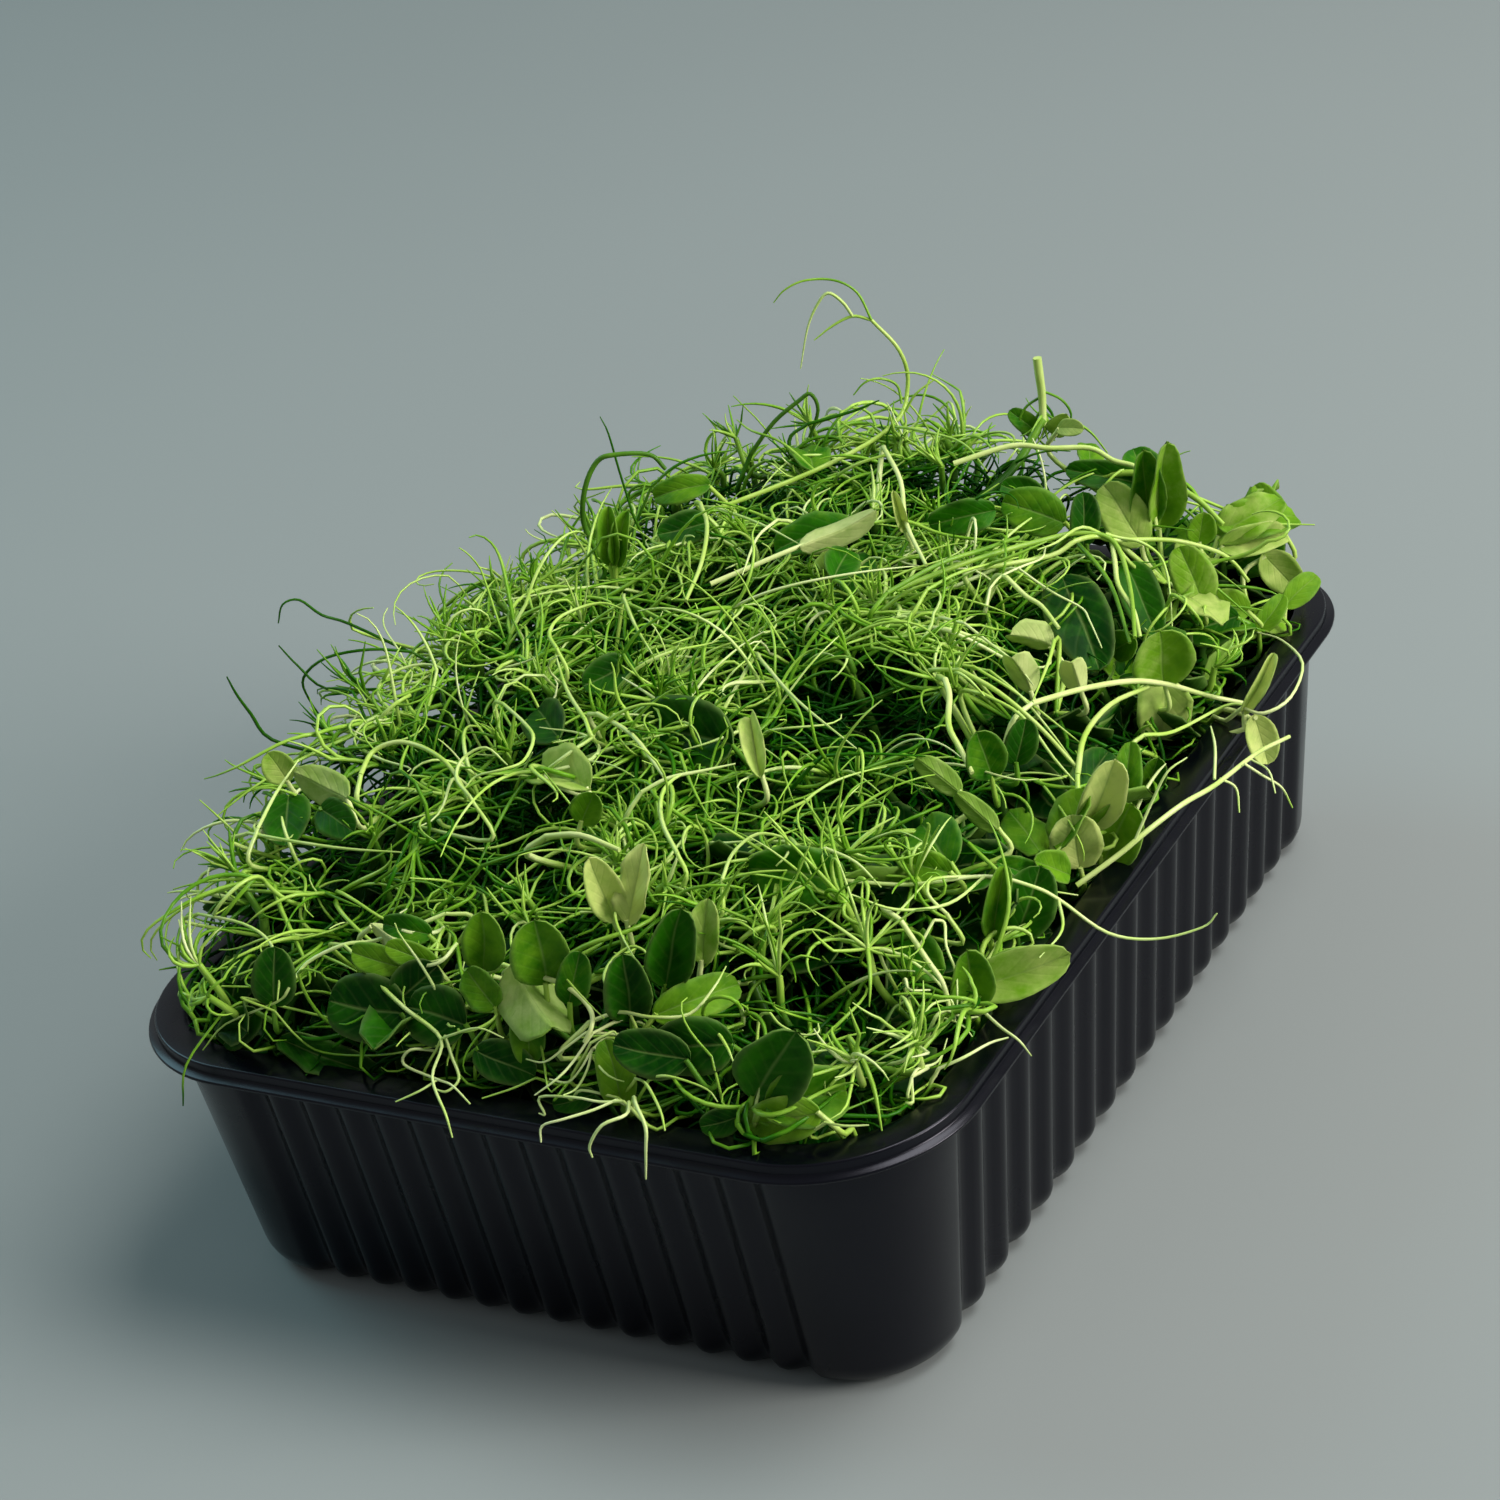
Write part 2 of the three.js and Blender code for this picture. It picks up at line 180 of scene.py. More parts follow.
def make_floor():
    """One large pale sheet under the tray, with the faintest mottling of painted board."""
    mesh = bpy.data.meshes.new("studio_floor")
    corners = [(x * FLOOR_HALF, y * FLOOR_HALF, 0) for x, y in ((-1, -1), (1, -1), (1, 1), (-1, 1))]
    mesh.from_pydata(corners, [], [(0, 1, 2, 3)])
    floor = bpy.data.objects.new("studio_floor", mesh)
    bpy.context.scene.collection.objects.link(floor)
    material, output = new_material("painted_board")
    tree = material.node_tree
    mottle = noise(tree, 3.0)
    darker = [0.97 * c for c in FLOOR_COLOUR]
    colour = colour_ramp(tree, mottle.outputs["Fac"], [(0.3, darker), (0.7, FLOOR_COLOUR)])
    board = add_node(tree, "ShaderNodeBsdfPrincipled", {"Base Color": colour, "Roughness": 0.75})
    tree.links.new(board.outputs[0], output.inputs[0])
    mesh.materials.append(material)


def soft_lamp(name, place, size, watts, colour=(1, 1, 1)):
    """A square softbox at a place in metres, facing the heap."""
    data = bpy.data.lights.new(name, "AREA")
    data.shape, data.size, data.energy, data.color = "SQUARE", size, watts, colour
    lamp = bpy.data.objects.new(name, data)
    lamp.location = place
    lamp.rotation_euler = (LAMPS_AIM - Vector(place)).to_track_quat("-Z", "Y").to_euler()
    bpy.context.scene.collection.objects.link(lamp)


make_floor()
soft_lamp("key_softbox", (0.55, 0.35, 1.35), 0.8, 15.0, (1.0, 0.99, 0.95))
soft_lamp("right_softbox", (1.3, 0.2, 0.6), 0.6, 20.0, (1.0, 0.94, 0.88))
soft_lamp("left_softbox", (-1.2, 0.1, 1.0), 0.7, 6.0, (0.5, 0.92, 1.0))
world = bpy.data.worlds.new("studio_air")
world.use_nodes = True
world.node_tree.nodes["Background"].inputs["Color"].default_value = (0.8, 0.84, 0.86, 1)
world.node_tree.nodes["Background"].inputs["Strength"].default_value = 0.3
bpy.context.scene.world = world
bpy.context.scene.view_settings.view_transform = "Standard"

# %% [markdown]
# ## Geometry Nodes trees, built in the script
# A tree is a recipe: its named inputs are the sizes, and its last nodes turn instances into
# real faces and give them their material. `bake_tree` runs a recipe once and keeps the plain
# mesh, which is what a library part needs: no live modifier stays behind.

# %% Making and running a tree


def new_tree(name, inputs):
    """A geometry tree with a geometry input and output and the named inputs."""
    tree = bpy.data.node_groups.new(name, "GeometryNodeTree")
    tree.is_modifier = True
    tree.interface.new_socket("Geometry", in_out="INPUT", socket_type="NodeSocketGeometry")
    for label, kind in inputs.items():
        tree.interface.new_socket(label, in_out="INPUT", socket_type="NodeSocket" + kind)
    tree.interface.new_socket("Geometry", in_out="OUTPUT", socket_type="NodeSocketGeometry")
    return tree, add_node(tree, "NodeGroupInput").outputs


def end_tree(tree, geometry, material=None):
    """Every tree ends alike: instances become faces, and the faces get their material."""
    last = add_node(tree, "GeometryNodeRealizeInstances", {"Geometry": geometry}).outputs[0]
    if material is not None:
        skin = {"Geometry": last, "Material": material}
        last = add_node(tree, "GeometryNodeSetMaterial", skin).outputs[0]
    add_node(tree, "NodeGroupOutput", {"Geometry": last})


def named(tree, name, kind="FLOAT"):
    """Reads an attribute of the incoming geometry by its name."""
    made = add_node(tree, "GeometryNodeInputNamedAttribute", {"Name": name}, data_type=kind)
    return made.outputs["Attribute"]


def bake_tree(name, mesh, tree, inputs):
    """Runs a tree on a mesh and returns a new plain mesh object with the result."""
    source = bpy.data.objects.new(name + "_source", mesh)
    bpy.context.scene.collection.objects.link(source)
    modifier = source.modifiers.new("recipe", "NODES")
    modifier.node_group = tree
    for item in tree.interface.items_tree:
        if item.item_type == "SOCKET" and item.in_out == "INPUT" and item.name in inputs:
            modifier[item.identifier] = inputs[item.name]
    graph = bpy.context.evaluated_depsgraph_get()
    baked = bpy.data.meshes.new_from_object(source.evaluated_get(graph), depsgraph=graph)
    bpy.data.objects.remove(source)
    baked.name = name
    piece = bpy.data.objects.new(name, baked)
    bpy.context.scene.collection.objects.link(piece)
    return piece


# %% [markdown]
# ## The tray
# The real tray is one sheet of black plastic, drawn hot into a mould. Every height of it is the
# same rounded rectangle, only further in or out, so one section swept along the rim's outline
# gives the whole sheet: underside, wall, flange, turned-down skirt, lip, and the inside. The
# corrugations are then pushed into the four straight sides as a cosine wave, which is how a
# milled mould looks, and they leave the corners smooth. The two flat floors close the sweep.

# %% The tray's sizes
tray_low, tray_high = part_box("tray")
RIM_WIDTH, RIM_LENGTH = tray_high.x - tray_low.x, tray_high.y - tray_low.y
RIM_HEIGHT = tray_high.z
RIM_CORNER = 24 * MM
SHEET = 0.8 * MM
WALL_TOP_INSET, WALL_FOOT_INSET = 4.2 * MM, 8.6 * MM
FOOT_FILLET = 5 * MM
SKIRT_INSET, SKIRT_DROP, LIP = 0.9 * MM, 1.8 * MM, 0.7 * MM
FLANGE_INNER = 6.4 * MM
FLOOR_INSET = 17 * MM
RIB_TOP, RIB_FADE, RIB_DEPTH = RIM_HEIGHT - 4.6 * MM, 2.2 * MM, 1.7 * MM
RIBS_SHORT, RIBS_LONG = 14, 17
POINT_SPACING = 0.85 * MM
print("tray in mm:", round(RIM_WIDTH / MM), round(RIM_LENGTH / MM), round(RIM_HEIGHT / MM))


# %% The section of the sheet


def corner_arc(centre_inset, height, radius, start, end, steps=4):
    """Points round a bend of the sheet. Angles are in degrees from straight outwards."""
    turns = np.radians(np.linspace(start, end, steps + 1))
    return [(-centre_inset + radius * math.cos(t), height + radius * math.sin(t)) for t in turns]


def straight(start, end, steps):
    """The points between two ends of a straight stretch, without the ends themselves."""
    shares = np.linspace(0, 1, steps + 1)[1:-1]
    return [(start[0] + (end[0] - start[0]) * s, start[1] + (end[1] - start[1]) * s) for s in shares]


def sheet_section():
    """The sheet cut through: outward distance from the rim's edge, and height."""
    bend = 0.35 * MM
    under_flange = RIM_HEIGHT - SHEET
    lip_top = RIM_HEIGHT - SKIRT_DROP
    lip_foot = lip_top - LIP
    skirt_inside = SKIRT_INSET + SHEET
    foot_inset = WALL_FOOT_INSET + FOOT_FILLET
    outer = [(-FLOOR_INSET, 0.0)] + corner_arc(foot_inset, FOOT_FILLET, FOOT_FILLET, -90, -6, 8)
    top = (-WALL_TOP_INSET, RIB_TOP)
    outer += straight(outer[-1], top, 6) + [top] + straight(top, (top[0], under_flange), 5)
    outer += corner_arc(WALL_TOP_INSET - bend, under_flange - bend, bend, 180, 90, 2)
    outer += [(-skirt_inside - bend, under_flange), (-skirt_inside, under_flange - bend)]
    outer += [(-skirt_inside, lip_foot)]
    lip = [(-bend, lip_foot)] + corner_arc(LIP / 2, lip_foot + LIP / 2, LIP / 2, -60, 60, 4)
    lip += [(-SKIRT_INSET - bend, lip_top), (-SKIRT_INSET - 1.3 * bend, lip_top + bend)]
    lip += corner_arc(SKIRT_INSET + 2.3 * bend, RIM_HEIGHT - bend, bend, 0, 90, 3)
    inner = corner_arc(FLANGE_INNER - bend, RIM_HEIGHT - 2 * bend, 2 * bend, 90, 180, 3)
    wall_top = (-WALL_TOP_INSET - SHEET, RIB_TOP)
    inner += straight(inner[-1], wall_top, 4) + [wall_top]
    bowl = corner_arc(foot_inset, FOOT_FILLET, FOOT_FILLET - SHEET, -6, -90, 6)
    inner += straight(wall_top, bowl[0], 6) + bowl + [(-FLOOR_INSET, SHEET)]
    return outer + lip + inner


# %% The tray's tree: sweep, corrugate, close


def tray_tree():
    """Sweeps the section round the rim, presses the corrugations in and lays both floors."""
    tree, given = new_tree("drawn_tray", {
        "Rim Width": "Float", "Rim Length": "Float", "Rim Corner": "Float", "Point Spacing": "Float",
        "Ribs Short": "Int", "Ribs Long": "Int", "Rib Depth": "Float", "Rib Top": "Float",
        "Rib Fade": "Float", "Sheet": "Float", "Plastic": "Material",
    })
    outline = add_node(tree, "GeometryNodeCurvePrimitiveQuadrilateral", {
        "Width": given["Rim Width"], "Height": given["Rim Length"],
    })
    rounded = add_node(tree, "GeometryNodeFilletCurve", {
        "Curve": outline.outputs[0], "Radius": given["Rim Corner"], "Count": 24,
    }, mode="POLY")
    path = add_node(tree, "GeometryNodeResampleCurve", {
        "Curve": rounded.outputs[0], "Length": given["Point Spacing"],
    }, mode="LENGTH")
    upright = add_node(tree, "GeometryNodeSetCurveNormal", {"Curve": path.outputs[0]}, mode="Z_UP")
    section = add_node(tree, "GeometryNodeMeshToCurve", {"Mesh": given["Geometry"]})
    sheet = add_node(tree, "GeometryNodeCurveToMesh", {
        "Curve": upright.outputs[0], "Profile Curve": section.outputs[0],
    })
    swept = add_node(tree, "GeometryNodeFlipFaces", {"Mesh": sheet.outputs[0]})

    position = add_node(tree, "GeometryNodeInputPosition").outputs[0]
    place = add_node(tree, "ShaderNodeSeparateXYZ", {0: position}).outputs
    below_rim = add_node(tree, "ShaderNodeMapRange", {
        "Value": place["Z"], "From Min": given["Rib Top"],
        "From Max": maths(tree, "ADD", given["Rib Top"], given["Rib Fade"]), "To Min": 1.0, "To Max": 0.0,
    }, interpolation_type="SMOOTHSTEP").outputs["Result"]
    depth = maths(tree, "MULTIPLY", given["Rib Depth"], below_rim)
    half = {
        "X": maths(tree, "SUBTRACT", maths(tree, "MULTIPLY", given["Rim Width"], 0.5), given["Rim Corner"]),
        "Y": maths(tree, "SUBTRACT", maths(tree, "MULTIPLY", given["Rim Length"], 0.5), given["Rim Corner"]),
    }
    push = {}
    for along, across, ribs in (("Y", "X", given["Ribs Long"]), ("X", "Y", given["Ribs Short"])):
        on_side = maths(tree, "LESS_THAN", maths(tree, "ABSOLUTE", place[along]), half[along])
        beyond = maths(tree, "GREATER_THAN", maths(tree, "ABSOLUTE", place[across]), half[across])
        travelled = maths(tree, "ADD", place[along], half[along])
        share = maths(tree, "DIVIDE", travelled, maths(tree, "MULTIPLY", half[along], 2.0))
        phase = maths(tree, "MULTIPLY", maths(tree, "MULTIPLY", share, ribs), 2 * math.pi)
        wave = maths(tree, "COSINE", phase)
        dip = maths(tree, "MULTIPLY", depth, maths(tree, "MULTIPLY_ADD", wave, -0.5, 0.5))
        masked = maths(tree, "MULTIPLY", dip, maths(tree, "MULTIPLY", on_side, beyond))
        inwards = maths(tree, "MULTIPLY", maths(tree, "SIGN", place[across]), -1.0)
        push[across] = maths(tree, "MULTIPLY", masked, inwards)
    offset = add_node(tree, "ShaderNodeCombineXYZ", {"X": push["X"], "Y": push["Y"]}).outputs[0]
    moved = {"Geometry": swept.outputs[0], "Offset": offset}
    ribbed = add_node(tree, "GeometryNodeSetPosition", moved).outputs[0]

    edge_faces = add_node(tree, "GeometryNodeInputMeshEdgeNeighbors").outputs[0]
    open_edge = maths(tree, "COMPARE", edge_faces, 1.0, 0.1)
    point = add_node(tree, "GeometryNodeInputPosition").outputs[0]
    height = add_node(tree, "ShaderNodeSeparateXYZ", {0: point}).outputs["Z"]
    half_sheet = maths(tree, "MULTIPLY", given["Sheet"], 0.5)
    floors = []
    for comparison, level in (("LESS_THAN", 0.0), ("GREATER_THAN", 1.0)):
        chosen = maths(tree, "MULTIPLY", open_edge, maths(tree, comparison, height, half_sheet))
        loop = add_node(tree, "GeometryNodeMeshToCurve", {"Mesh": ribbed, "Selection": chosen})
        flat = add_node(tree, "GeometryNodeFillCurve", {"Curve": loop.outputs[0]}, mode="NGONS")
        raised = maths(tree, "MULTIPLY", given["Sheet"], level)
        lift = add_node(tree, "ShaderNodeCombineXYZ", {"Z": raised}).outputs[0]
        laid = {"Geometry": flat.outputs[0], "Offset": lift}
        floors.append(add_node(tree, "GeometryNodeSetPosition", laid).outputs[0])
    underside = add_node(tree, "GeometryNodeFlipFaces", {"Mesh": floors[0]}).outputs[0]
    joined = add_node(tree, "GeometryNodeJoinGeometry")
    for geometry in (ribbed, underside, floors[1]):
        tree.links.new(geometry, joined.inputs[0])
    welded = add_node(tree, "GeometryNodeMergeByDistance", {
        "Geometry": joined.outputs[0], "Distance": 0.01 * MM,
    }).outputs[0]
    smooth = add_node(tree, "GeometryNodeSetShadeSmooth", {"Geometry": welded}).outputs[0]
    end_tree(tree, smooth, given["Plastic"])
    return tree


# %% [markdown]
# ## Black plastic
# Drawn polystyrene is black all through, and its surface is a worn satin: broad soft
# reflections, a little cloudier in some places than in others. A dark base with a roughness
# that varies over a few millimetres gives that, and a bump too fine to see as bumps breaks the
# edge of each reflection.

# %% The tray's material


def black_plastic():
    """Near-black satin plastic with a cloudy sheen."""
    material, output = new_material("black_plastic")
    tree = material.node_tree
    cloud = noise(tree, 60.0, 4.0).outputs["Fac"]
    grain = noise(tree, 1500.0, 2.0).outputs["Fac"]
    colour = colour_ramp(tree, cloud, [(0.3, (0.0006, 0.0008, 0.0022)), (0.75, (0.0012, 0.0014, 0.003))])
    sheen = add_node(tree, "ShaderNodeMapRange", {
        "Value": cloud, "From Min": 0.3, "From Max": 0.7, "To Min": 0.2, "To Max": 0.3,
    })
    bump = add_node(tree, "ShaderNodeBump", {"Height": grain, "Strength": 0.12, "Distance": 0.05 * MM})
    plastic = add_node(tree, "ShaderNodeBsdfPrincipled", {
        "Base Color": colour, "Roughness": sheen.outputs[0], "Normal": bump.outputs[0],
        "Specular IOR Level": 0.6, "Specular Tint": (0.4, 0.4, 0.48, 1),
    })
    tree.links.new(plastic.outputs[0], output.inputs[0])
    return material


# %% Make the tray


def check_closed(piece):
    """Counts open or twisted edges and gives the volume, which is positive when faces point out."""
    shape = bmesh.new()
    shape.from_mesh(piece.data)
    open_edges = sum(1 for edge in shape.edges if not edge.is_contiguous)
    volume = shape.calc_volume(signed=True)
    shape.free()
    return open_edges, volume


def make_tray():
    """Runs the tray's recipe, checks that it is closed and puts it in the tray's place."""
    section = bpy.data.meshes.new("sheet_section")
    points = sheet_section()
    # The sweep lays a section's second axis downwards, so the heights go in with a minus sign.
    spans = [(k, k + 1) for k in range(len(points) - 1)]
    section.from_pydata([(x, -y, 0) for x, y in points], spans, [])
    tray = bake_tree("corrugated_tray", section, tray_tree(), {
        "Rim Width": RIM_WIDTH, "Rim Length": RIM_LENGTH, "Rim Corner": RIM_CORNER,
        "Point Spacing": POINT_SPACING, "Ribs Short": RIBS_SHORT, "Ribs Long": RIBS_LONG,
        "Rib Depth": RIB_DEPTH, "Rib Top": RIB_TOP, "Rib Fade": RIB_FADE, "Sheet": SHEET,
        "Plastic": black_plastic(),
    })
    open_edges, volume = check_closed(tray)
    print("tray faces:", len(tray.data.polygons), "open edges:", open_edges)
    print("tray volume in cm3:", round(volume * 1e6, 1))
    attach(tray, BODY)
    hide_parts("tray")
    return tray


tray = make_tray()

# %% [markdown]
# ## How the heap lies
# Cut shoots are packed upright and spring back, so the heap has one soft rounded surface:
# highest along the middle and at the back, falling to the rim on the right and in front. Every
# tendril and leaf is grown towards this surface, which keeps forty separate shoots looking
# like one heap. Plan distances from the rim keep the greens off the plastic.

# %% The heap's surface
HEAP_FOOT, HEAP_RISE = 46.0, 23.0
BACK_HUMP, BACK_HUMP_AT, BACK_HUMP_SIZE = 8.0, (2.0, 80.0), (28.0, 24.0)
SIDE_DIP, SIDE_DIP_AT, SIDE_DIP_SIZE = 7.0, (-50.0, 52.0), (22.0, 24.0)
LUMP, LUMP_ACROSS, LUMP_ALONG = 2.2, 10.0, 12.0
HOLLOWS = (
    (-10, -48), (5, -37), (-24, 0), (-45, -53), (58, 0), (-29, 49), (-38, -30), (20, -8), (30, 14),
)
HOLLOW_DEPTH, HOLLOW_SIZE = 11.0, 6.0
HALF_WIDTH, HALF_LENGTH = RIM_WIDTH / MM / 2, RIM_LENGTH / MM / 2
RIM_Z = RIM_HEIGHT / MM
CORNER = RIM_CORNER / MM


def ease(value):
    """A smooth step from 0 to 1."""
    t = np.clip(value, 0, 1)
    return t * t * (3 - 2 * t)


def from_spot(x, y, spot, size):
    """How far a plan point is from a spot, squared and counted in the spot's own sizes."""
    return ((x - spot[0]) / size[0]) ** 2 + ((y - spot[1]) / size[1]) ** 2


def crown_height(x, y):
    """Height in mm of the heap's rounded outline over a plan point in mm."""
    u, v = x / HALF_WIDTH, y / HALF_LENGTH
    across = 1 - (np.maximum(u + 0.1, 0) / 1.02) ** 3.5 - (np.maximum(-u - 0.45, 0) / 0.62) ** 4
    along = 1 - (np.maximum(-v - 0.25, 0) / 0.76) ** 2.2 - (np.maximum(v - 0.55, 0) / 0.47) ** 4
    lumps = LUMP * np.sin(x / LUMP_ACROSS + 1.3 * np.sin(y / 17)) * np.sin(y / LUMP_ALONG + 0.8)
    crown = np.clip(across, 0, 1) * np.clip(along, 0, 1)
    hump = BACK_HUMP * np.exp(-from_spot(x, y, BACK_HUMP_AT, BACK_HUMP_SIZE))
    dip = SIDE_DIP * np.exp(-from_spot(x, y, SIDE_DIP_AT, SIDE_DIP_SIZE))
    return HEAP_FOOT + (HEAP_RISE + lumps) * crown + (hump - dip)


def heap_height(x, y):
    """The heap's surface: its outline with a few deep hollows between the shoots."""
    dips = [
        np.exp(-((x - at_x) ** 2 + (y - at_y) ** 2) / HOLLOW_SIZE**2) for at_x, at_y in HOLLOWS
    ]
    return crown_height(x, y) - HOLLOW_DEPTH * sum(dips)


middle_height, edge_height = float(heap_height(0, 0)), float(heap_height(62, 0))
print("heap in mm: middle", round(middle_height, 1), "right edge", round(edge_height, 1))

# %% Distances from the rim
WALL_MARGIN, CLEARANCE = 1.0, 0.2


def wall_inside(lean):
    """How far in from the rim's edge the ribbed wall reaches, from 0 at its foot to 1 at its top."""
    wall_inset = WALL_FOOT_INSET + (WALL_TOP_INSET - WALL_FOOT_INSET) * lean
    return (wall_inset + SHEET + RIB_DEPTH) / MM


def rim_inset(x, y):
    """How far inside the rim's outer edge a plan point is, and the way inwards from there."""
    over_x = np.abs(x) - (HALF_WIDTH - CORNER)
    over_y = np.abs(y) - (HALF_LENGTH - CORNER)
    corner = np.hypot(np.maximum(over_x, 0), np.maximum(over_y, 0))
    distance = corner + np.minimum(np.maximum(over_x, over_y), 0) - CORNER
    sideways = np.where(over_x > 0, over_x, 0) + np.where((over_x <= 0) & (over_x > over_y), 1, 0)
    lengthways = np.where(over_y > 0, over_y, 0) + np.where((over_y <= 0) & (over_y >= over_x), 1, 0)
    size = np.maximum(np.hypot(sideways, lengthways), 1e-6)
    return -distance, -np.sign(x) * sideways / size, -np.sign(y) * lengthways / size


def greens_margin(x, y):
    """How far in from the rim's edge the greens stop: over it on the left, short of it elsewhere."""
    left = ease((-x - 35) / 25) * ease((y + 84) / 18)
    return 4.5 - 6.0 * left - 3.0 * ease((y - 55) / 25)


def keep_off_plastic(path, radius):
    """Moves a path's points inside the walls, or lifts them to lie on the flange."""
    x, y, z = path[..., 0], path[..., 1], path[..., 2]
    inset, in_x, in_y = rim_inset(x, y)
    wall = wall_inside(np.clip(z / RIM_Z, 0, 1)) + WALL_MARGIN
    inside = (z < RIM_Z - 2) & (inset > -2)
    step = np.where(inside, np.maximum(wall - inset, 0), 0)
    on_flange = (z >= RIM_Z - 2) & (inset < wall) & (inset > -1.5)
    above_flange = np.maximum(z, RIM_Z + radius + CLEARANCE)
    above_floor = np.maximum(z, SHEET / MM + radius + CLEARANCE)
    lifted = np.where(on_flange, above_flange, above_floor)
    return np.stack([x + in_x * step, y + in_y * step, lifted], -1)


# %% [markdown]
# ## Wiry paths
# A tendril grows from its tip and turns a little at every step, so it is drawn the same way: a
# walk in equal strides whose heading turns steadily, about an axis that drifts, and ever faster
# near the end where it hooks. About one in three has a kink, where it once held on to something
# and slipped off. Packed shoots are pressed flat, so just over half the walks settle at their
# own height in the heap and curl sideways, while the rest stay springy and curl any way. All
# the tendrils of a spray walk at once, as rows of one array.

# %% Walking a path
KINK_CHANCE, SPRINGY = 0.35, 0.45
# How strongly a path turns back to its height and away from the rim, for each mm it is off.
PULL = 0.12


def unit(v):
    """The same direction with a length of one, row by row."""
    return v / np.maximum(np.linalg.norm(v, axis=-1, keepdims=True), 1e-9)


def turned(v, axis, angle):
    """Each row of v turned about its own axis by its own angle in radians."""
    c, s = np.cos(angle)[:, None], np.sin(angle)[:, None]
    return v * c + np.cross(axis, v) * s + axis * np.sum(axis * v, -1, keepdims=True) * (1 - c)


def wander(rng, starts, headings, lengths, curls, hooks, floats, steps=16, drift=0.12):
    """Wiry paths in mm, one for each start.

    curls and hooks are turns in radians per mm; floats is how far above the heap's surface each
    path settles, or nan for one that goes where it points.
    """
    place, heading = np.array(starts, float), unit(np.array(headings, float))
    count = len(place)
    settle = np.where(rng.random(count) < SPRINGY, 0.09, 0.3) * ~np.isnan(floats)
    chance_axis = rng.normal(size=heading.shape)
    axis = np.where(settle[:, None] > 0.1, UP + 0.35 * chance_axis, chance_axis)
    axis = unit(axis - heading * np.sum(axis * heading, -1, keepdims=True))
    stride = np.asarray(lengths) / steps
    kink_step = np.where(rng.random(count) < KINK_CHANCE, rng.integers(3, steps - 2, count), -1)
    kink_turn = rng.choice([-1, 1], count) * rng.uniform(0.3, 0.9, count)
    path = [place]
    for k in range(steps):
        turn = (curls + hooks * ((k + 0.5) / steps) ** 4) * stride
        turn = turn + np.where(kink_step == k, kink_turn, 0)
        heading = turned(heading, axis, np.clip(turn, -0.6, 0.6))
        axis = axis + drift * rng.normal(size=axis.shape)
        axis = unit(axis - heading * np.sum(axis * heading, -1, keepdims=True))
        x, y, z = place.T
        rise = np.clip((heap_height(x, y) + floats - z) * PULL, -0.6, 0.9)
        inset, in_x, in_y = rim_inset(x, y)
        low = 4 * np.clip((RIM_Z + 8 - z) / 8, 0, 1)
        back = np.clip(greens_margin(x, y) + 3 + low - inset, 0, 7) * PULL
        sink = (np.nan_to_num(rise) - heading[:, 2]) * settle
        heading = unit(heading + np.stack([in_x * back, in_y * back, sink], -1))
        place = place + heading * stride[:, None]
        path.append(place)
    return np.stack(path, 1)


def smooth_path(points, per_span=5):
    """A smooth path through a few given points."""
    p = np.array(points, float)
    p = np.vstack([2 * p[0] - p[1], p, 2 * p[-1] - p[-2]])
    path = []
    for a, b, c, d in zip(p[:-3], p[1:-2], p[2:-1], p[3:]):
        for t in np.arange(per_span) / per_span:
            bend = (2 * a - 5 * b + 4 * c - d) * t**2 + (3 * b - a - 3 * c + d) * t**3
            path.append(0.5 * (2 * b + (c - a) * t + bend))
    return np.array(path + [p[-2]])


# %% [markdown]
# ## One shoot as a sketch
# A shoot is first a sketch: lines with a thickness for its stems and tendrils, and one point
# for each leaf with the way it faces and its size. Geometry Nodes later turn the sketch into
# surfaces, so the sketch is small, and quick to change.

# %% The sketch of a shoot
# A line's stalk value picks its skin: 0 is a young tendril's and 1 an old stem's. Over 0.5 the
# line also gets a stem's rounder section.
LINE_VALUES = ("radius", "tone", "stalk")
# Tone lost per mm under the heap's surface, by strands and by leaves: painted shade.
SHADE_PER_MM, LEAF_SHADE_PER_MM = 0.085, 0.05


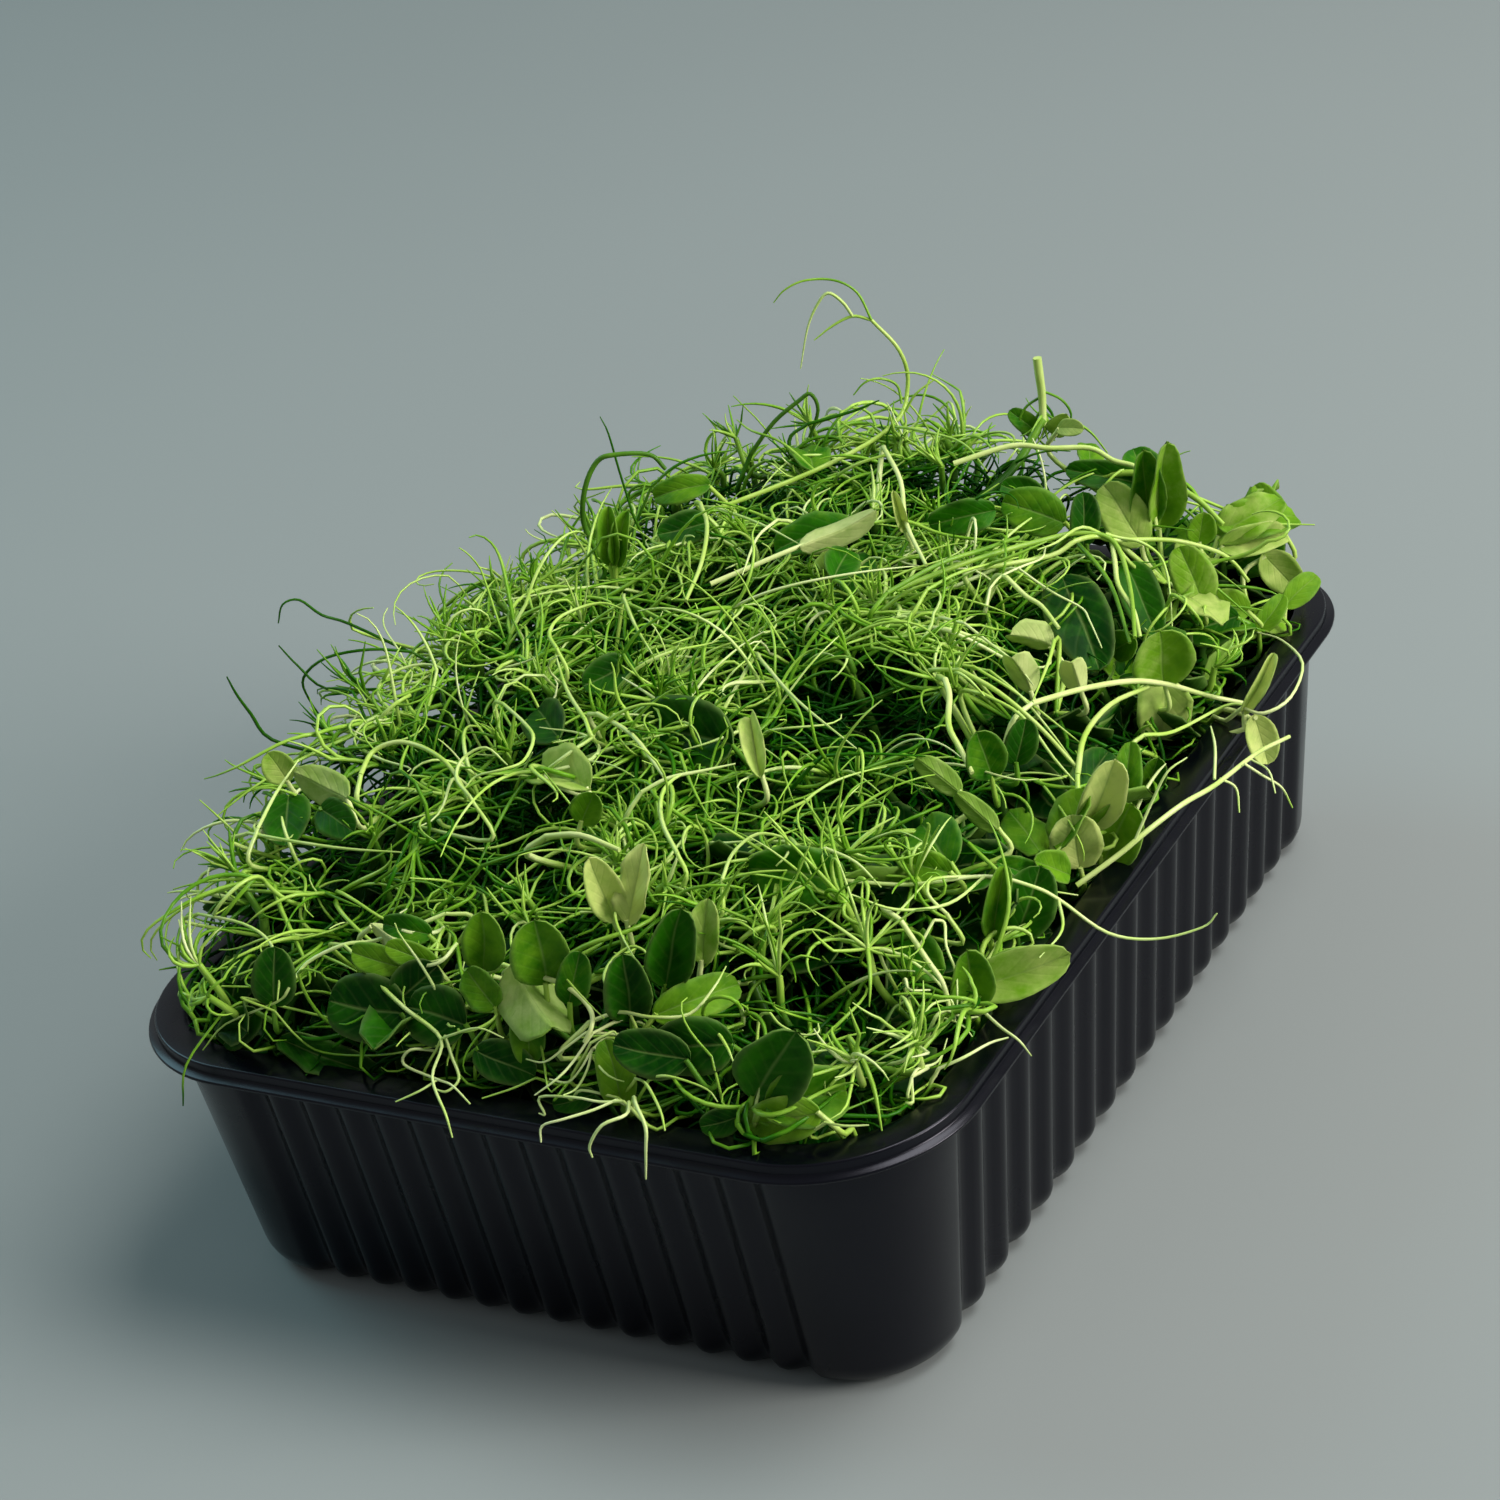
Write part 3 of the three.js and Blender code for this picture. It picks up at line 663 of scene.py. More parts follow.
class Sketch:
    """The lines and leaf points of one shoot, in mm."""

    def __init__(self, seed):
        self.rng = np.random.default_rng(seed)
        self.lines = []
        self.leaves = []

    def line(self, path, thick, thin, tone, stalk=0.0, clear=True):
        """A stem or tendril: thick at its start, thin at its end, in mm of radius."""
        share = np.linspace(0, 1, len(path))
        radius = thick + (thin - thick) * share**2.5
        placed = keep_off_plastic(path, radius) if clear else path
        # Points under the heap's outline, hollows not counted, lose tone per mm: painted shade.
        buried = np.minimum(placed[:, 2] - crown_height(placed[:, 0], placed[:, 1]) + 1, 0)
        tones = np.clip(tone + SHADE_PER_MM * buried, 0, 1)
        self.lines.append((placed, radius, tones, np.full(len(path), stalk)))
        return placed

    def leaf(self, base, along, up, length, width, form, tone):
        """A leaf from its base, growing along one way with its upper face towards another."""
        along = unit(np.array(along, float))
        up = unit(np.array(up, float) - along * np.dot(up, along))
        self.leaves.append((np.array(base, float), along, up, (width, length, length), form, tone))

    def shade(self, place):
        """How much darker a leaf is for lying under the heap's surface, as painted shade."""
        return LEAF_SHADE_PER_MM * min(place[2] - float(crown_height(place[0], place[1])) + 2, 0)

    def mesh(self, name):
        """The sketch as a mesh of edges and loose points, with its values as attributes."""
        points, edges, values = [], [], {key: [] for key in LINE_VALUES}
        for path, *columns in self.lines:
            first = len(points)
            points.extend(path)
            edges.extend((first + k, first + k + 1) for k in range(len(path) - 1))
            for key, column in zip(LINE_VALUES, columns):
                values[key].extend(column)
        line_points = len(points)
        points.extend(leaf[0] for leaf in self.leaves)
        mesh = bpy.data.meshes.new(name)
        mesh.from_pydata([tuple(float(c) * MM for c in p) for p in points], edges, [])
        values["radius"] = [r * MM for r in values["radius"]] + [0.0] * len(self.leaves)
        values["tone"] += [leaf[5] for leaf in self.leaves]
        values["stalk"] += [0.0] * len(self.leaves)
        for key in LINE_VALUES:
            mesh.attributes.new(key, "FLOAT", "POINT").data.foreach_set("value", values[key])
        is_leaf = [False] * line_points + [True] * len(self.leaves)
        mesh.attributes.new("is_leaf", "BOOLEAN", "POINT").data.foreach_set("value", is_leaf)
        forms = [0] * line_points + [leaf[4] for leaf in self.leaves]
        mesh.attributes.new("form", "INT", "POINT").data.foreach_set("value", forms)
        for column, key in ((1, "along"), (2, "up"), (3, "size")):
            rows = np.zeros((len(points), 3), np.float32)
            for k, leaf in enumerate(self.leaves):
                rows[line_points + k] = np.array(leaf[column]) * (MM if key == "size" else 1)
            mesh.attributes.new(key, "FLOAT_VECTOR", "POINT").data.foreach_set("vector", rows.ravel())
        return mesh


# %% [markdown]
# ## Sprays, tufts and leaf pairs
# A pea's leaf is a stalk with pairs of leaflets, and its last leaflets have turned into
# tendrils. On these cut greens most leaves are all tendrils: a stalk that fans out into about a
# dozen of them, and into fewer where the heap is leafy. The deep ones are painted darker and the
# top ones yellower, as painted shade and light: a tendril's tone follows the height it floats
# at. A few tendrils are short and free, and go where they point.

# %% A spray of tendrils
TENDRIL_THICK, TENDRIL_TIP = (0.22, 0.42), 0.1
LONG_STEPS, SHORT_STEPS = 14, 8
LOW_FLOAT, HIGHEST_FLOAT = -6, 2.5
FREE_SHARE, FREE_LENGTH = 0.08, 0.45


def tendril_bends(rng, count):
    """Curl along the way and hook at the end, in radians per mm: half are nearly straight."""
    gentle = rng.normal(0, 0.05, count)
    tight = rng.choice([-1, 1], count) * rng.uniform(0.12, 0.34, count)
    curls = np.where(rng.random(count) < 0.5, tight, gentle)
    hooks = rng.choice([-1, 1], count) * rng.uniform(0.15, 0.6, count)
    hooks = hooks * (rng.random(count) < 0.5)
    return curls, hooks


def depth_shaded_tone(floats, rng):
    """Painted shade: a tone that drops the deeper a path floats in the heap, with a little chance in it."""
    chance = rng.normal(0, 0.16, len(floats))
    return np.clip(0.64 + 0.02 * np.nan_to_num(floats) + chance, 0.02, 1)


def spray(sketch, start, heading, count, reach, float_height):
    """A side stalk that ends in a fan of tendrils."""
    rng = sketch.rng
    stalk_length = np.array([reach * rng.uniform(0.35, 0.7)])
    stalk_float = np.array([float_height])
    stalk_curl = rng.normal(0, 0.03, 1)
    stalk = wander(rng, [start], [heading], stalk_length, stalk_curl, 0.0, stalk_float, 7)[0]
    thick = rng.uniform(0.32, 0.48)
    stalk = sketch.line(stalk, thick, 0.3, depth_shaded_tone(stalk_float, rng)[0], 0.15)
    joints = rng.choice(np.arange(3, 8), count)
    starts, direction = stalk[joints], unit(stalk[joints] - stalk[joints - 1])
    sideways = unit(np.cross(direction, UP + rng.normal(0, 0.3, direction.shape)))
    spread = rng.choice([-1, 1], count) * rng.uniform(0.2, 1.2, count)
    headings = direction + sideways * spread[:, None]
    lengths = reach * rng.uniform(0.5, 1.25, count)
    curls, hooks = tendril_bends(rng, count)
    floats = np.minimum(float_height + rng.normal(0, 2.0, count), HIGHEST_FLOAT)
    tones = depth_shaded_tone(floats, rng)
    free = rng.random(count) < FREE_SHARE
    floats[free] = np.nan
    lengths[free] *= FREE_LENGTH
    steps = LONG_STEPS if float_height > LOW_FLOAT else SHORT_STEPS
    paths = wander(rng, starts, headings, lengths, curls, hooks, floats, steps)
    for path, tone in zip(paths, tones):
        sketch.line(path, rng.uniform(*TENDRIL_THICK), TENDRIL_TIP, tone)


# %% A tuft of fine tips
LONGEST_FAN = 12.5
TUFT_THICK, TUFT_TIP = (0.22, 0.36), 0.08


def tuft(sketch, start, heading, count, length, tone):
    """A fan of short fine tendrils at the end of a young shoot. A long one is a loose tangle."""
    rng = sketch.rng
    tangled = length > LONGEST_FAN
    scatter = 0.85 if tangled else 0.42
    headings = unit(np.array(heading, float)) + rng.normal(0, scatter, (count, 3))
    lengths = length * rng.uniform(0.5, 1.1, count)
    curls = rng.normal(0, 0.013 * length, count)
    free = np.full(count, np.nan)
    steps = 12 if tangled else 7
    for path in wander(rng, [start] * count, headings, lengths, curls, 0.0, free, steps, 0.15):
        thick = rng.uniform(*TUFT_THICK)
        tip_tone = np.clip(tone + rng.normal(0, 0.12), 0, 1)
        sketch.line(path, thick, TUFT_TIP, tip_tone, clear=False)


# %% A pair of leaves
# Each blade form is modelled at three finenesses, and a leaf's form number says both.
BLADE_FORM_COUNT = 8
ROUGH, PLAIN, FINE = (fineness * BLADE_FORM_COUNT for fineness in range(3))
LEAF_TRIES = 12


def facing(azimuth, pitch, roll):
    """A leaf's two directions from angles in degrees: which way it grows, and its upper face."""
    a, p, r = np.radians([azimuth, pitch, roll])
    along = np.array([math.cos(p) * math.cos(a), math.cos(p) * math.sin(a), math.sin(p)])
    level = np.array([-math.sin(a), math.cos(a), 0.0])
    return along, math.cos(r) * np.cross(along, level) + math.sin(r) * level


def clear_of_plastic(place):
    """Whether a point is inside the walls, or far enough in over the rim."""
    inset = float(rim_inset(place[0], place[1])[0])
    if place[2] > RIM_Z + 1:
        return inset > greens_margin(place[0], place[1]) - 3
    return inset > wall_inside(max(place[2], 0) / RIM_Z) + 3


def leaf_pair(sketch, joint, azimuth, length, tone, fineness=PLAIN):
    """Two leaflets on short stalks, opposite each other at a stem's joint."""
    rng = sketch.rng
    for side in (-1, 1):
        size = length * rng.uniform(0.75, 1.2)
        for _ in range(LEAF_TRIES):
            aim = azimuth + side * rng.uniform(35, 85)
            along, up = facing(aim, rng.uniform(-10, 35), rng.normal(0, 30))
            width = size * rng.uniform(0.55, 0.8)
            base = joint + along * size * 0.25
            aside = np.cross(along, up) * width * 0.5
            middle = base + along * size * 0.5
            drooped_tip = base + (along * 0.8 - up * 0.5) * size
            corners = (base + along * size, middle + aside, middle - aside, drooped_tip)
            if all(clear_of_plastic(corner) for corner in corners):
                break
            azimuth, size = azimuth + 37, size * 0.94
        else:
            continue
        leaf_tone = np.clip(tone + rng.normal(0, 0.15) + sketch.shade(base), 0, 1)
        stalk = smooth_path([joint, (joint + base) / 2 + [0, 0, 0.5], base + along * 0.6], 3)
        sketch.line(stalk, 0.4, 0.3, leaf_tone + 0.2, 0.6)
        form = fineness + int(rng.integers(BLADE_FORM_COUNT))
        sketch.leaf(base, along, up, size, width, form, leaf_tone)


# %% [markdown]
# ## The leaf blades
# A pea leaflet is a thin oval, broadest below its middle, creased along the midrib. No two lie
# alike: some are flat, some cupped, folded, arched or rippled. Eight blades are modelled, each
# three times: roughly for the leaves deep inside the heap, plainly for those near its surface
# and finely for those that show best. The tree picks one for each leaf point, turns it and
# scales it. Each blade is a closed shell, upper face and underside, so light and print both see
# real leaf.

# %% Modelling the blades
ROUGH_COLUMNS, ROUGH_STATIONS = (-1, 0, 1), 6
PLAIN_COLUMNS, PLAIN_STATIONS = (-1, -0.6, 0, 0.6, 1), 7
FINE_COLUMNS, FINE_STATIONS = (-1, -0.8, -0.45, -0.14, 0, 0.14, 0.45, 0.8, 1), 12
BLADE_THICKNESS = 0.024
# fold along the midrib, cup, arch from base to tip, ripple of the edge, twist
BLADE_FORMS = (
    (0.10, 0.04, 0.25, 0.02, 0.0), (0.16, -0.06, 0.7, 0.03, 0.1), (0.10, 0.26, -0.35, 0.02, -0.1),
    (0.5, 0.0, 0.45, 0.04, 0.15), (0.22, 0.0, 0.5, 0.09, 0.3), (0.12, 0.1, 0.35, 0.05, -0.75),
    (0.22, 0.05, 1.25, 0.04, 0.2), (-0.12, -0.08, 0.15, 0.06, 0.25),
)
BLADE_GRIDS = (
    (ROUGH_COLUMNS, ROUGH_STATIONS), (PLAIN_COLUMNS, PLAIN_STATIONS), (FINE_COLUMNS, FINE_STATIONS),
)


def blade_surface(columns, stations, fold, cup, arch, ripple, twist):
    """The upper face of a blade one unit long and one wide, as rows of points."""
    rows = np.zeros((stations, len(columns), 3))
    for i, turn in enumerate(np.linspace(0, math.pi, stations)):
        s = (1 - math.cos(turn)) / 2
        outline = (4 * s * (1 - s)) ** (0.5 - 0.12 * s) * (1 + 0.12 * (0.5 - s))
        half = 0.5 * max(outline, 0.03)
        bend = arch * s
        for j, c in enumerate(columns):
            x = c * half
            z = fold * abs(c) * half + cup * (c * half * 2) ** 2 * 0.5
            wave = math.sin(13 * s + 1.7 * math.copysign(1, c))
            z += ripple * abs(c) ** 3 * wave * min(1, 8 * s * (1 - s))
            z -= 0.012 * math.exp(-((c / 0.1) ** 2))
            cos_twist, sin_twist = math.cos(twist * s), math.sin(twist * s)
            x, z = x * cos_twist - z * sin_twist, x * sin_twist + z * cos_twist
            along, drop = math.sin(bend) / arch, (1 - math.cos(bend)) / arch
            rows[i, j] = (x, along + z * math.sin(bend), z * math.cos(bend) - drop)
    return rows


def make_blade(name, columns, stations, form):
    """A closed thin shell from the upper face, with a map across and along it."""
    top = blade_surface(columns, stations, *form)
    across, down = np.gradient(top, axis=1), np.gradient(top, axis=0)
    bottom = top - unit(np.cross(across, down)) * BLADE_THICKNESS
    n, m = top.shape[:2]
    grid = np.arange(n * m).reshape(n, m)
    under = grid + n * m
    faces = []
    for i in range(n - 1):
        for j in range(m - 1):
            faces.append((grid[i, j], grid[i, j + 1], grid[i + 1, j + 1], grid[i + 1, j]))
            faces.append((under[i, j], under[i + 1, j], under[i + 1, j + 1], under[i, j + 1]))
    edge = list(grid[0, :]) + list(grid[1:, -1]) + list(grid[-1, -2::-1]) + list(grid[-2:0:-1, 0])
    for a, b in zip(edge, edge[1:] + edge[:1]):
        faces.append((a, a + n * m, b + n * m, b))
    points = [tuple(p) for p in np.vstack([top.reshape(-1, 3), bottom.reshape(-1, 3)])]
    mesh = bpy.data.meshes.new(name)
    mesh.from_pydata(points, [], [tuple(int(k) for k in face) for face in faces])
    leaf_map = mesh.uv_layers.new(name="leaf_map")
    for loop in mesh.loops:
        k = loop.vertex_index % (n * m)
        leaf_map.data[loop.index].uv = (0.5 + 0.5 * columns[k % m], (k // m) / (n - 1))
    is_under = [0.0] * (n * m) + [1.0] * (n * m)
    mesh.attributes.new("under", "FLOAT", "POINT").data.foreach_set("value", is_under)
    mesh.shade_smooth()
    return mesh


blades = bpy.data.collections.new("blades")
for fineness, (columns, stations) in enumerate(BLADE_GRIDS):
    for k, form in enumerate(BLADE_FORMS):
        name = f"blade_{fineness * BLADE_FORM_COUNT + k:02d}"
        blade = bpy.data.objects.new(name, make_blade(name, columns, stations, form))
        blades.objects.link(blade)
    print("blade faces:", len(blade.data.polygons), "open edges and volume:", check_closed(blade))

# %% [markdown]
# ## From sketch to greens
# The tree splits a sketch in two. Lines are swept with a round section whose size follows the
# stored radius, so tendrils taper; stems get a rounder section than tendrils. Leaf points get
# one of the blades, turned by the two stored directions. A slow noise then moves the blades'
# points a little, so that no two leaves made from one blade are the same.

# %% The greens' tree


def greens_tree():
    """Sweeps a sketch's lines and puts a blade on each of its leaf points."""
    tree, given = new_tree("grow_shoot", {
        "Tendril Sides": "Int", "Stem Sides": "Int", "Blades": "Collection", "Ripple": "Float",
        "Ripple Size": "Float", "Stem Skin": "Material", "Leaf Skin": "Material",
    })
    split = add_node(tree, "GeometryNodeSeparateGeometry", {
        "Geometry": given["Geometry"], "Selection": named(tree, "is_leaf", "BOOLEAN"),
    }, domain="POINT")
    is_stem = maths(tree, "GREATER_THAN", named(tree, "stalk"), 0.5)
    by_kind = add_node(tree, "GeometryNodeSeparateGeometry", {
        "Geometry": split.outputs["Inverted"], "Selection": is_stem,
    }, domain="POINT")
    strands = add_node(tree, "GeometryNodeJoinGeometry")
    for kind, sides in (("Selection", given["Stem Sides"]), ("Inverted", given["Tendril Sides"])):
        lines = add_node(tree, "GeometryNodeMeshToCurve", {"Mesh": by_kind.outputs[kind]})
        ring = add_node(tree, "GeometryNodeCurvePrimitiveCircle", {"Resolution": sides, "Radius": 1.0})
        swept = add_node(tree, "GeometryNodeCurveToMesh", {
            "Curve": lines.outputs[0], "Profile Curve": ring.outputs[0],
            "Scale": named(tree, "radius"), "Fill Caps": True,
        })
        tree.links.new(swept.outputs[0], strands.inputs[0])
    strands = add_node(tree, "GeometryNodeSetShadeSmooth", {"Geometry": strands.outputs[0]})
    strands = add_node(tree, "GeometryNodeSetMaterial", {
        "Geometry": strands.outputs[0], "Material": given["Stem Skin"],
    })

    buds = add_node(tree, "GeometryNodeMeshToPoints", {"Mesh": split.outputs["Selection"]})
    choice = add_node(tree, "GeometryNodeCollectionInfo", {
        "Collection": given["Blades"], "Separate Children": True, "Reset Children": True,
    })
    turn = add_node(tree, "FunctionNodeAxesToRotation", {
        "Primary Axis": named(tree, "along", "FLOAT_VECTOR"),
        "Secondary Axis": named(tree, "up", "FLOAT_VECTOR"),
    }, primary_axis="Y", secondary_axis="Z")
    leaves = add_node(tree, "GeometryNodeInstanceOnPoints", {
        "Points": buds.outputs[0], "Instance": choice.outputs[0], "Pick Instance": True,
        "Instance Index": named(tree, "form", "INT"), "Rotation": turn.outputs[0],
        "Scale": named(tree, "size", "FLOAT_VECTOR"),
    })
    leaves = add_node(tree, "GeometryNodeRealizeInstances", {"Geometry": leaves.outputs[0]})
    waviness = add_node(tree, "ShaderNodeTexNoise", {
        "Scale": maths(tree, "DIVIDE", 1.0, given["Ripple Size"]), "Detail": 0.0,
    })
    centred = add_node(tree, "ShaderNodeVectorMath", {
        0: waviness.outputs["Color"], 1: (0.5, 0.5, 0.5),
    }, operation="SUBTRACT")
    shift = add_node(tree, "ShaderNodeVectorMath", {
        0: centred.outputs[0], "Scale": given["Ripple"],
    }, operation="SCALE")
    leaves = add_node(tree, "GeometryNodeSetPosition", {
        "Geometry": leaves.outputs[0], "Offset": shift.outputs[0],
    })
    leaves = add_node(tree, "GeometryNodeSetMaterial", {
        "Geometry": leaves.outputs[0], "Material": given["Leaf Skin"],
    })
    joined = add_node(tree, "GeometryNodeJoinGeometry")
    tree.links.new(leaves.outputs[0], joined.inputs[0])
    tree.links.new(strands.outputs[0], joined.inputs[0])
    end_tree(tree, joined.outputs[0])
    return tree


# %% [markdown]
# ## Skins of the greens
# Tendrils and stems share one skin. Each strand has a tone: low is the deep green of the
# shaded depths, high the yellow-green of young growth. Leaves are glossier and darker above
# and pale and matt beneath, with the midrib and side veins a little lighter than the blade.
# Some light passes through all of it, which is what makes fresh greens glow.

# %% Stem and tendril skin


def attribute(tree, name):
    """Reads a value stored on the mesh, in a material."""
    return add_node(tree, "ShaderNodeAttribute", attribute_name=name).outputs["Fac"]


def blend(tree, share, low, high):
    """Mixes two colours by a share."""
    return add_node(tree, "ShaderNodeMix", {0: share, 6: low, 7: high}, data_type="RGBA").outputs[2]


def lit_through(tree, output, surface, colour, share):
    """Mixes a surface with the light that shines through it."""
    through = add_node(tree, "ShaderNodeBsdfTranslucent", {"Color": colour})
    mixed = add_node(tree, "ShaderNodeMixShader", {0: share, 1: surface, 2: through.outputs[0]})
    tree.links.new(mixed.outputs[0], output.inputs[0])


def stem_skin():
    """The shared skin of stems and tendrils."""
    material, output = new_material("pea_stem_skin")
    tree = material.node_tree
    patch = noise(tree, 140.0, 3.0).outputs["Fac"]
    # The stored tone holds the painted shade of the heap's depths as well as the strand's own tone.
    strand_tone = attribute(tree, "tone")
    tone = maths(tree, "ADD", strand_tone, maths(tree, "MULTIPLY_ADD", patch, 0.5, -0.25), clamp=True)
    young = colour_ramp(tree, tone, [
        (0.0, (0.003, 0.048, 0.001)), (0.25, (0.03, 0.18, 0.003)), (0.5, (0.21, 0.47, 0.027)),
        (0.75, (0.49, 0.75, 0.12)), (1.0, (0.80, 0.91, 0.44)),
    ])
    stalk = colour_ramp(tree, tone, [
        (0.0, (0.03, 0.10, 0.01)), (0.4, (0.18, 0.38, 0.04)), (0.7, (0.42, 0.62, 0.09)),
        (1.0, (0.74, 0.84, 0.32)),
    ])
    colour = blend(tree, attribute(tree, "stalk"), young, stalk)
    grain = noise(tree, 2200.0, 2.0).outputs["Fac"]
    bump = add_node(tree, "ShaderNodeBump", {"Height": grain, "Strength": 0.2, "Distance": 0.06 * MM})
    # Specular strength follows the tone, so strands darkened as painted shade also lose their sheen.
    shaded_gloss = maths(tree, "MULTIPLY_ADD", tone, 0.35, 0.05)
    surface = add_node(tree, "ShaderNodeBsdfPrincipled", {
        "Base Color": colour, "Roughness": 0.24, "Normal": bump.outputs[0],
        "Specular IOR Level": shaded_gloss,
    })
    lit_through(tree, output, surface.outputs[0], colour, 0.14)
    return material


# %% Leaf skin


def leaf_skin():
    """A leaf's two faces, with its midrib and side veins drawn from the map across and along it."""
    material, output = new_material("pea_leaf_skin")
    tree = material.node_tree
    where = add_node(tree, "ShaderNodeUVMap", uv_map="leaf_map").outputs[0]
    where = add_node(tree, "ShaderNodeSeparateXYZ", {0: where}).outputs
    aside = maths(tree, "ABSOLUTE", maths(tree, "MULTIPLY_ADD", where["X"], 2.0, -1.0))
    midrib = maths(tree, "SUBTRACT", 1.0, maths(tree, "DIVIDE", aside, 0.075), clamp=True)
    run = maths(tree, "MULTIPLY_ADD", aside, -0.28, where["Y"])
    wave = maths(tree, "ABSOLUTE", maths(tree, "COSINE", maths(tree, "MULTIPLY", run, 24.0)))
    fading = maths(tree, "SUBTRACT", 0.75, maths(tree, "MULTIPLY", aside, 0.5))
    veins = maths(tree, "MULTIPLY", maths(tree, "POWER", wave, 14.0), fading, clamp=True)
    mottle = noise(tree, 260.0, 4.0, 0.6).outputs["Fac"]
    cloud = maths(tree, "MULTIPLY_ADD", mottle, 0.6, -0.3)
    # The stored tone holds the painted shade of leaves under the heap's surface as well as their own tone.
    tone = maths(tree, "ADD", attribute(tree, "tone"), cloud, clamp=True)
    upper = colour_ramp(tree, tone, [
        (0.0, (0.002, 0.05, 0.001)), (0.3, (0.028, 0.19, 0.002)), (0.6, (0.21, 0.45, 0.018)),
        (1.0, (0.70, 0.80, 0.26)),
    ])
    lower = colour_ramp(tree, tone, [
        (0.0, (0.03, 0.12, 0.008)), (0.6, (0.26, 0.46, 0.06)), (1.0, (0.72, 0.80, 0.34)),
    ])
    blade = blend(tree, attribute(tree, "under"), upper, lower)
    # Edges lightened towards the vein colour: a painted rim highlight.
    edge = maths(tree, "MULTIPLY", maths(tree, "POWER", aside, 9.0), 0.3)
    middle_line = maths(tree, "MULTIPLY", midrib, 0.35)
    lines = maths(tree, "MAXIMUM", middle_line, maths(tree, "MULTIPLY_ADD", veins, 0.07, edge))
    lighter = blend(tree, lines, blade, (0.40, 0.58, 0.16, 1))
    sunk_veins = maths(tree, "MULTIPLY", veins, -0.5)
    relief = maths(tree, "ADD", sunk_veins, maths(tree, "MULTIPLY_ADD", midrib, -1.0, mottle))
    bump = add_node(tree, "ShaderNodeBump", {"Height": relief, "Strength": 0.5, "Distance": 0.2 * MM})
    rough = add_node(tree, "ShaderNodeMapRange", {
        "Value": attribute(tree, "under"), "To Min": 0.46, "To Max": 0.62,
    })
    surface = add_node(tree, "ShaderNodeBsdfPrincipled", {
        "Base Color": lighter, "Roughness": rough.outputs[0], "Normal": bump.outputs[0],
        "Specular IOR Level": 0.1,
    })
    lit_through(tree, output, surface.outputs[0], lighter, 0.34)
    return material


# %% Growing a piece from its sketch
TENDRIL_SIDES, STEM_SIDES = 4, 7
LEAF_RIPPLE, LEAF_RIPPLE_SIZE = 1.3 * MM, 9 * MM
grow_tree, STEM_SKIN, LEAF_SKIN = greens_tree(), stem_skin(), leaf_skin()


def grow(node, sketch):
    """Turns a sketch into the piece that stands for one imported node; returns its triangle count."""
    piece = bake_tree(node + "_greens", sketch.mesh(node), grow_tree, {
        "Tendril Sides": TENDRIL_SIDES, "Stem Sides": STEM_SIDES, "Blades": blades,
        "Ripple": LEAF_RIPPLE, "Ripple Size": LEAF_RIPPLE_SIZE,
        "Stem Skin": STEM_SKIN, "Leaf Skin": LEAF_SKIN,
    })
    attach(piece, BODY)
    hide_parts(node)
    return sum(len(face.vertices) - 2 for face in piece.data.polygons)


# %% [markdown]
# ## Leaves and tendrils placed one by one
# Chance gives a heap, but not this heap: its large leaves, the long stems that lie across it
# and the wisps that stand against the background are listed point by point, in mm. Most of
# these points were not chosen by hand. Another program worked them out, along lines of sight
# from the camera onto the heap's surface or an upright plane, and many were then moved a little.
#
# A leaf has a base, a tip, a roll about its midrib, a width, one of the blade forms and a tone.
# With no roll its upper face looks up and to the tray's front right corner, and with 180 its
# pale underside does. Each belongs to the standing shoot that is nearest to its base.

# %% The leaves that show
FLAT, ARCHED, CUPPED, FOLDED, WAVY, TWISTED, HOOKED, TURNED_DOWN = range(BLADE_FORM_COUNT)
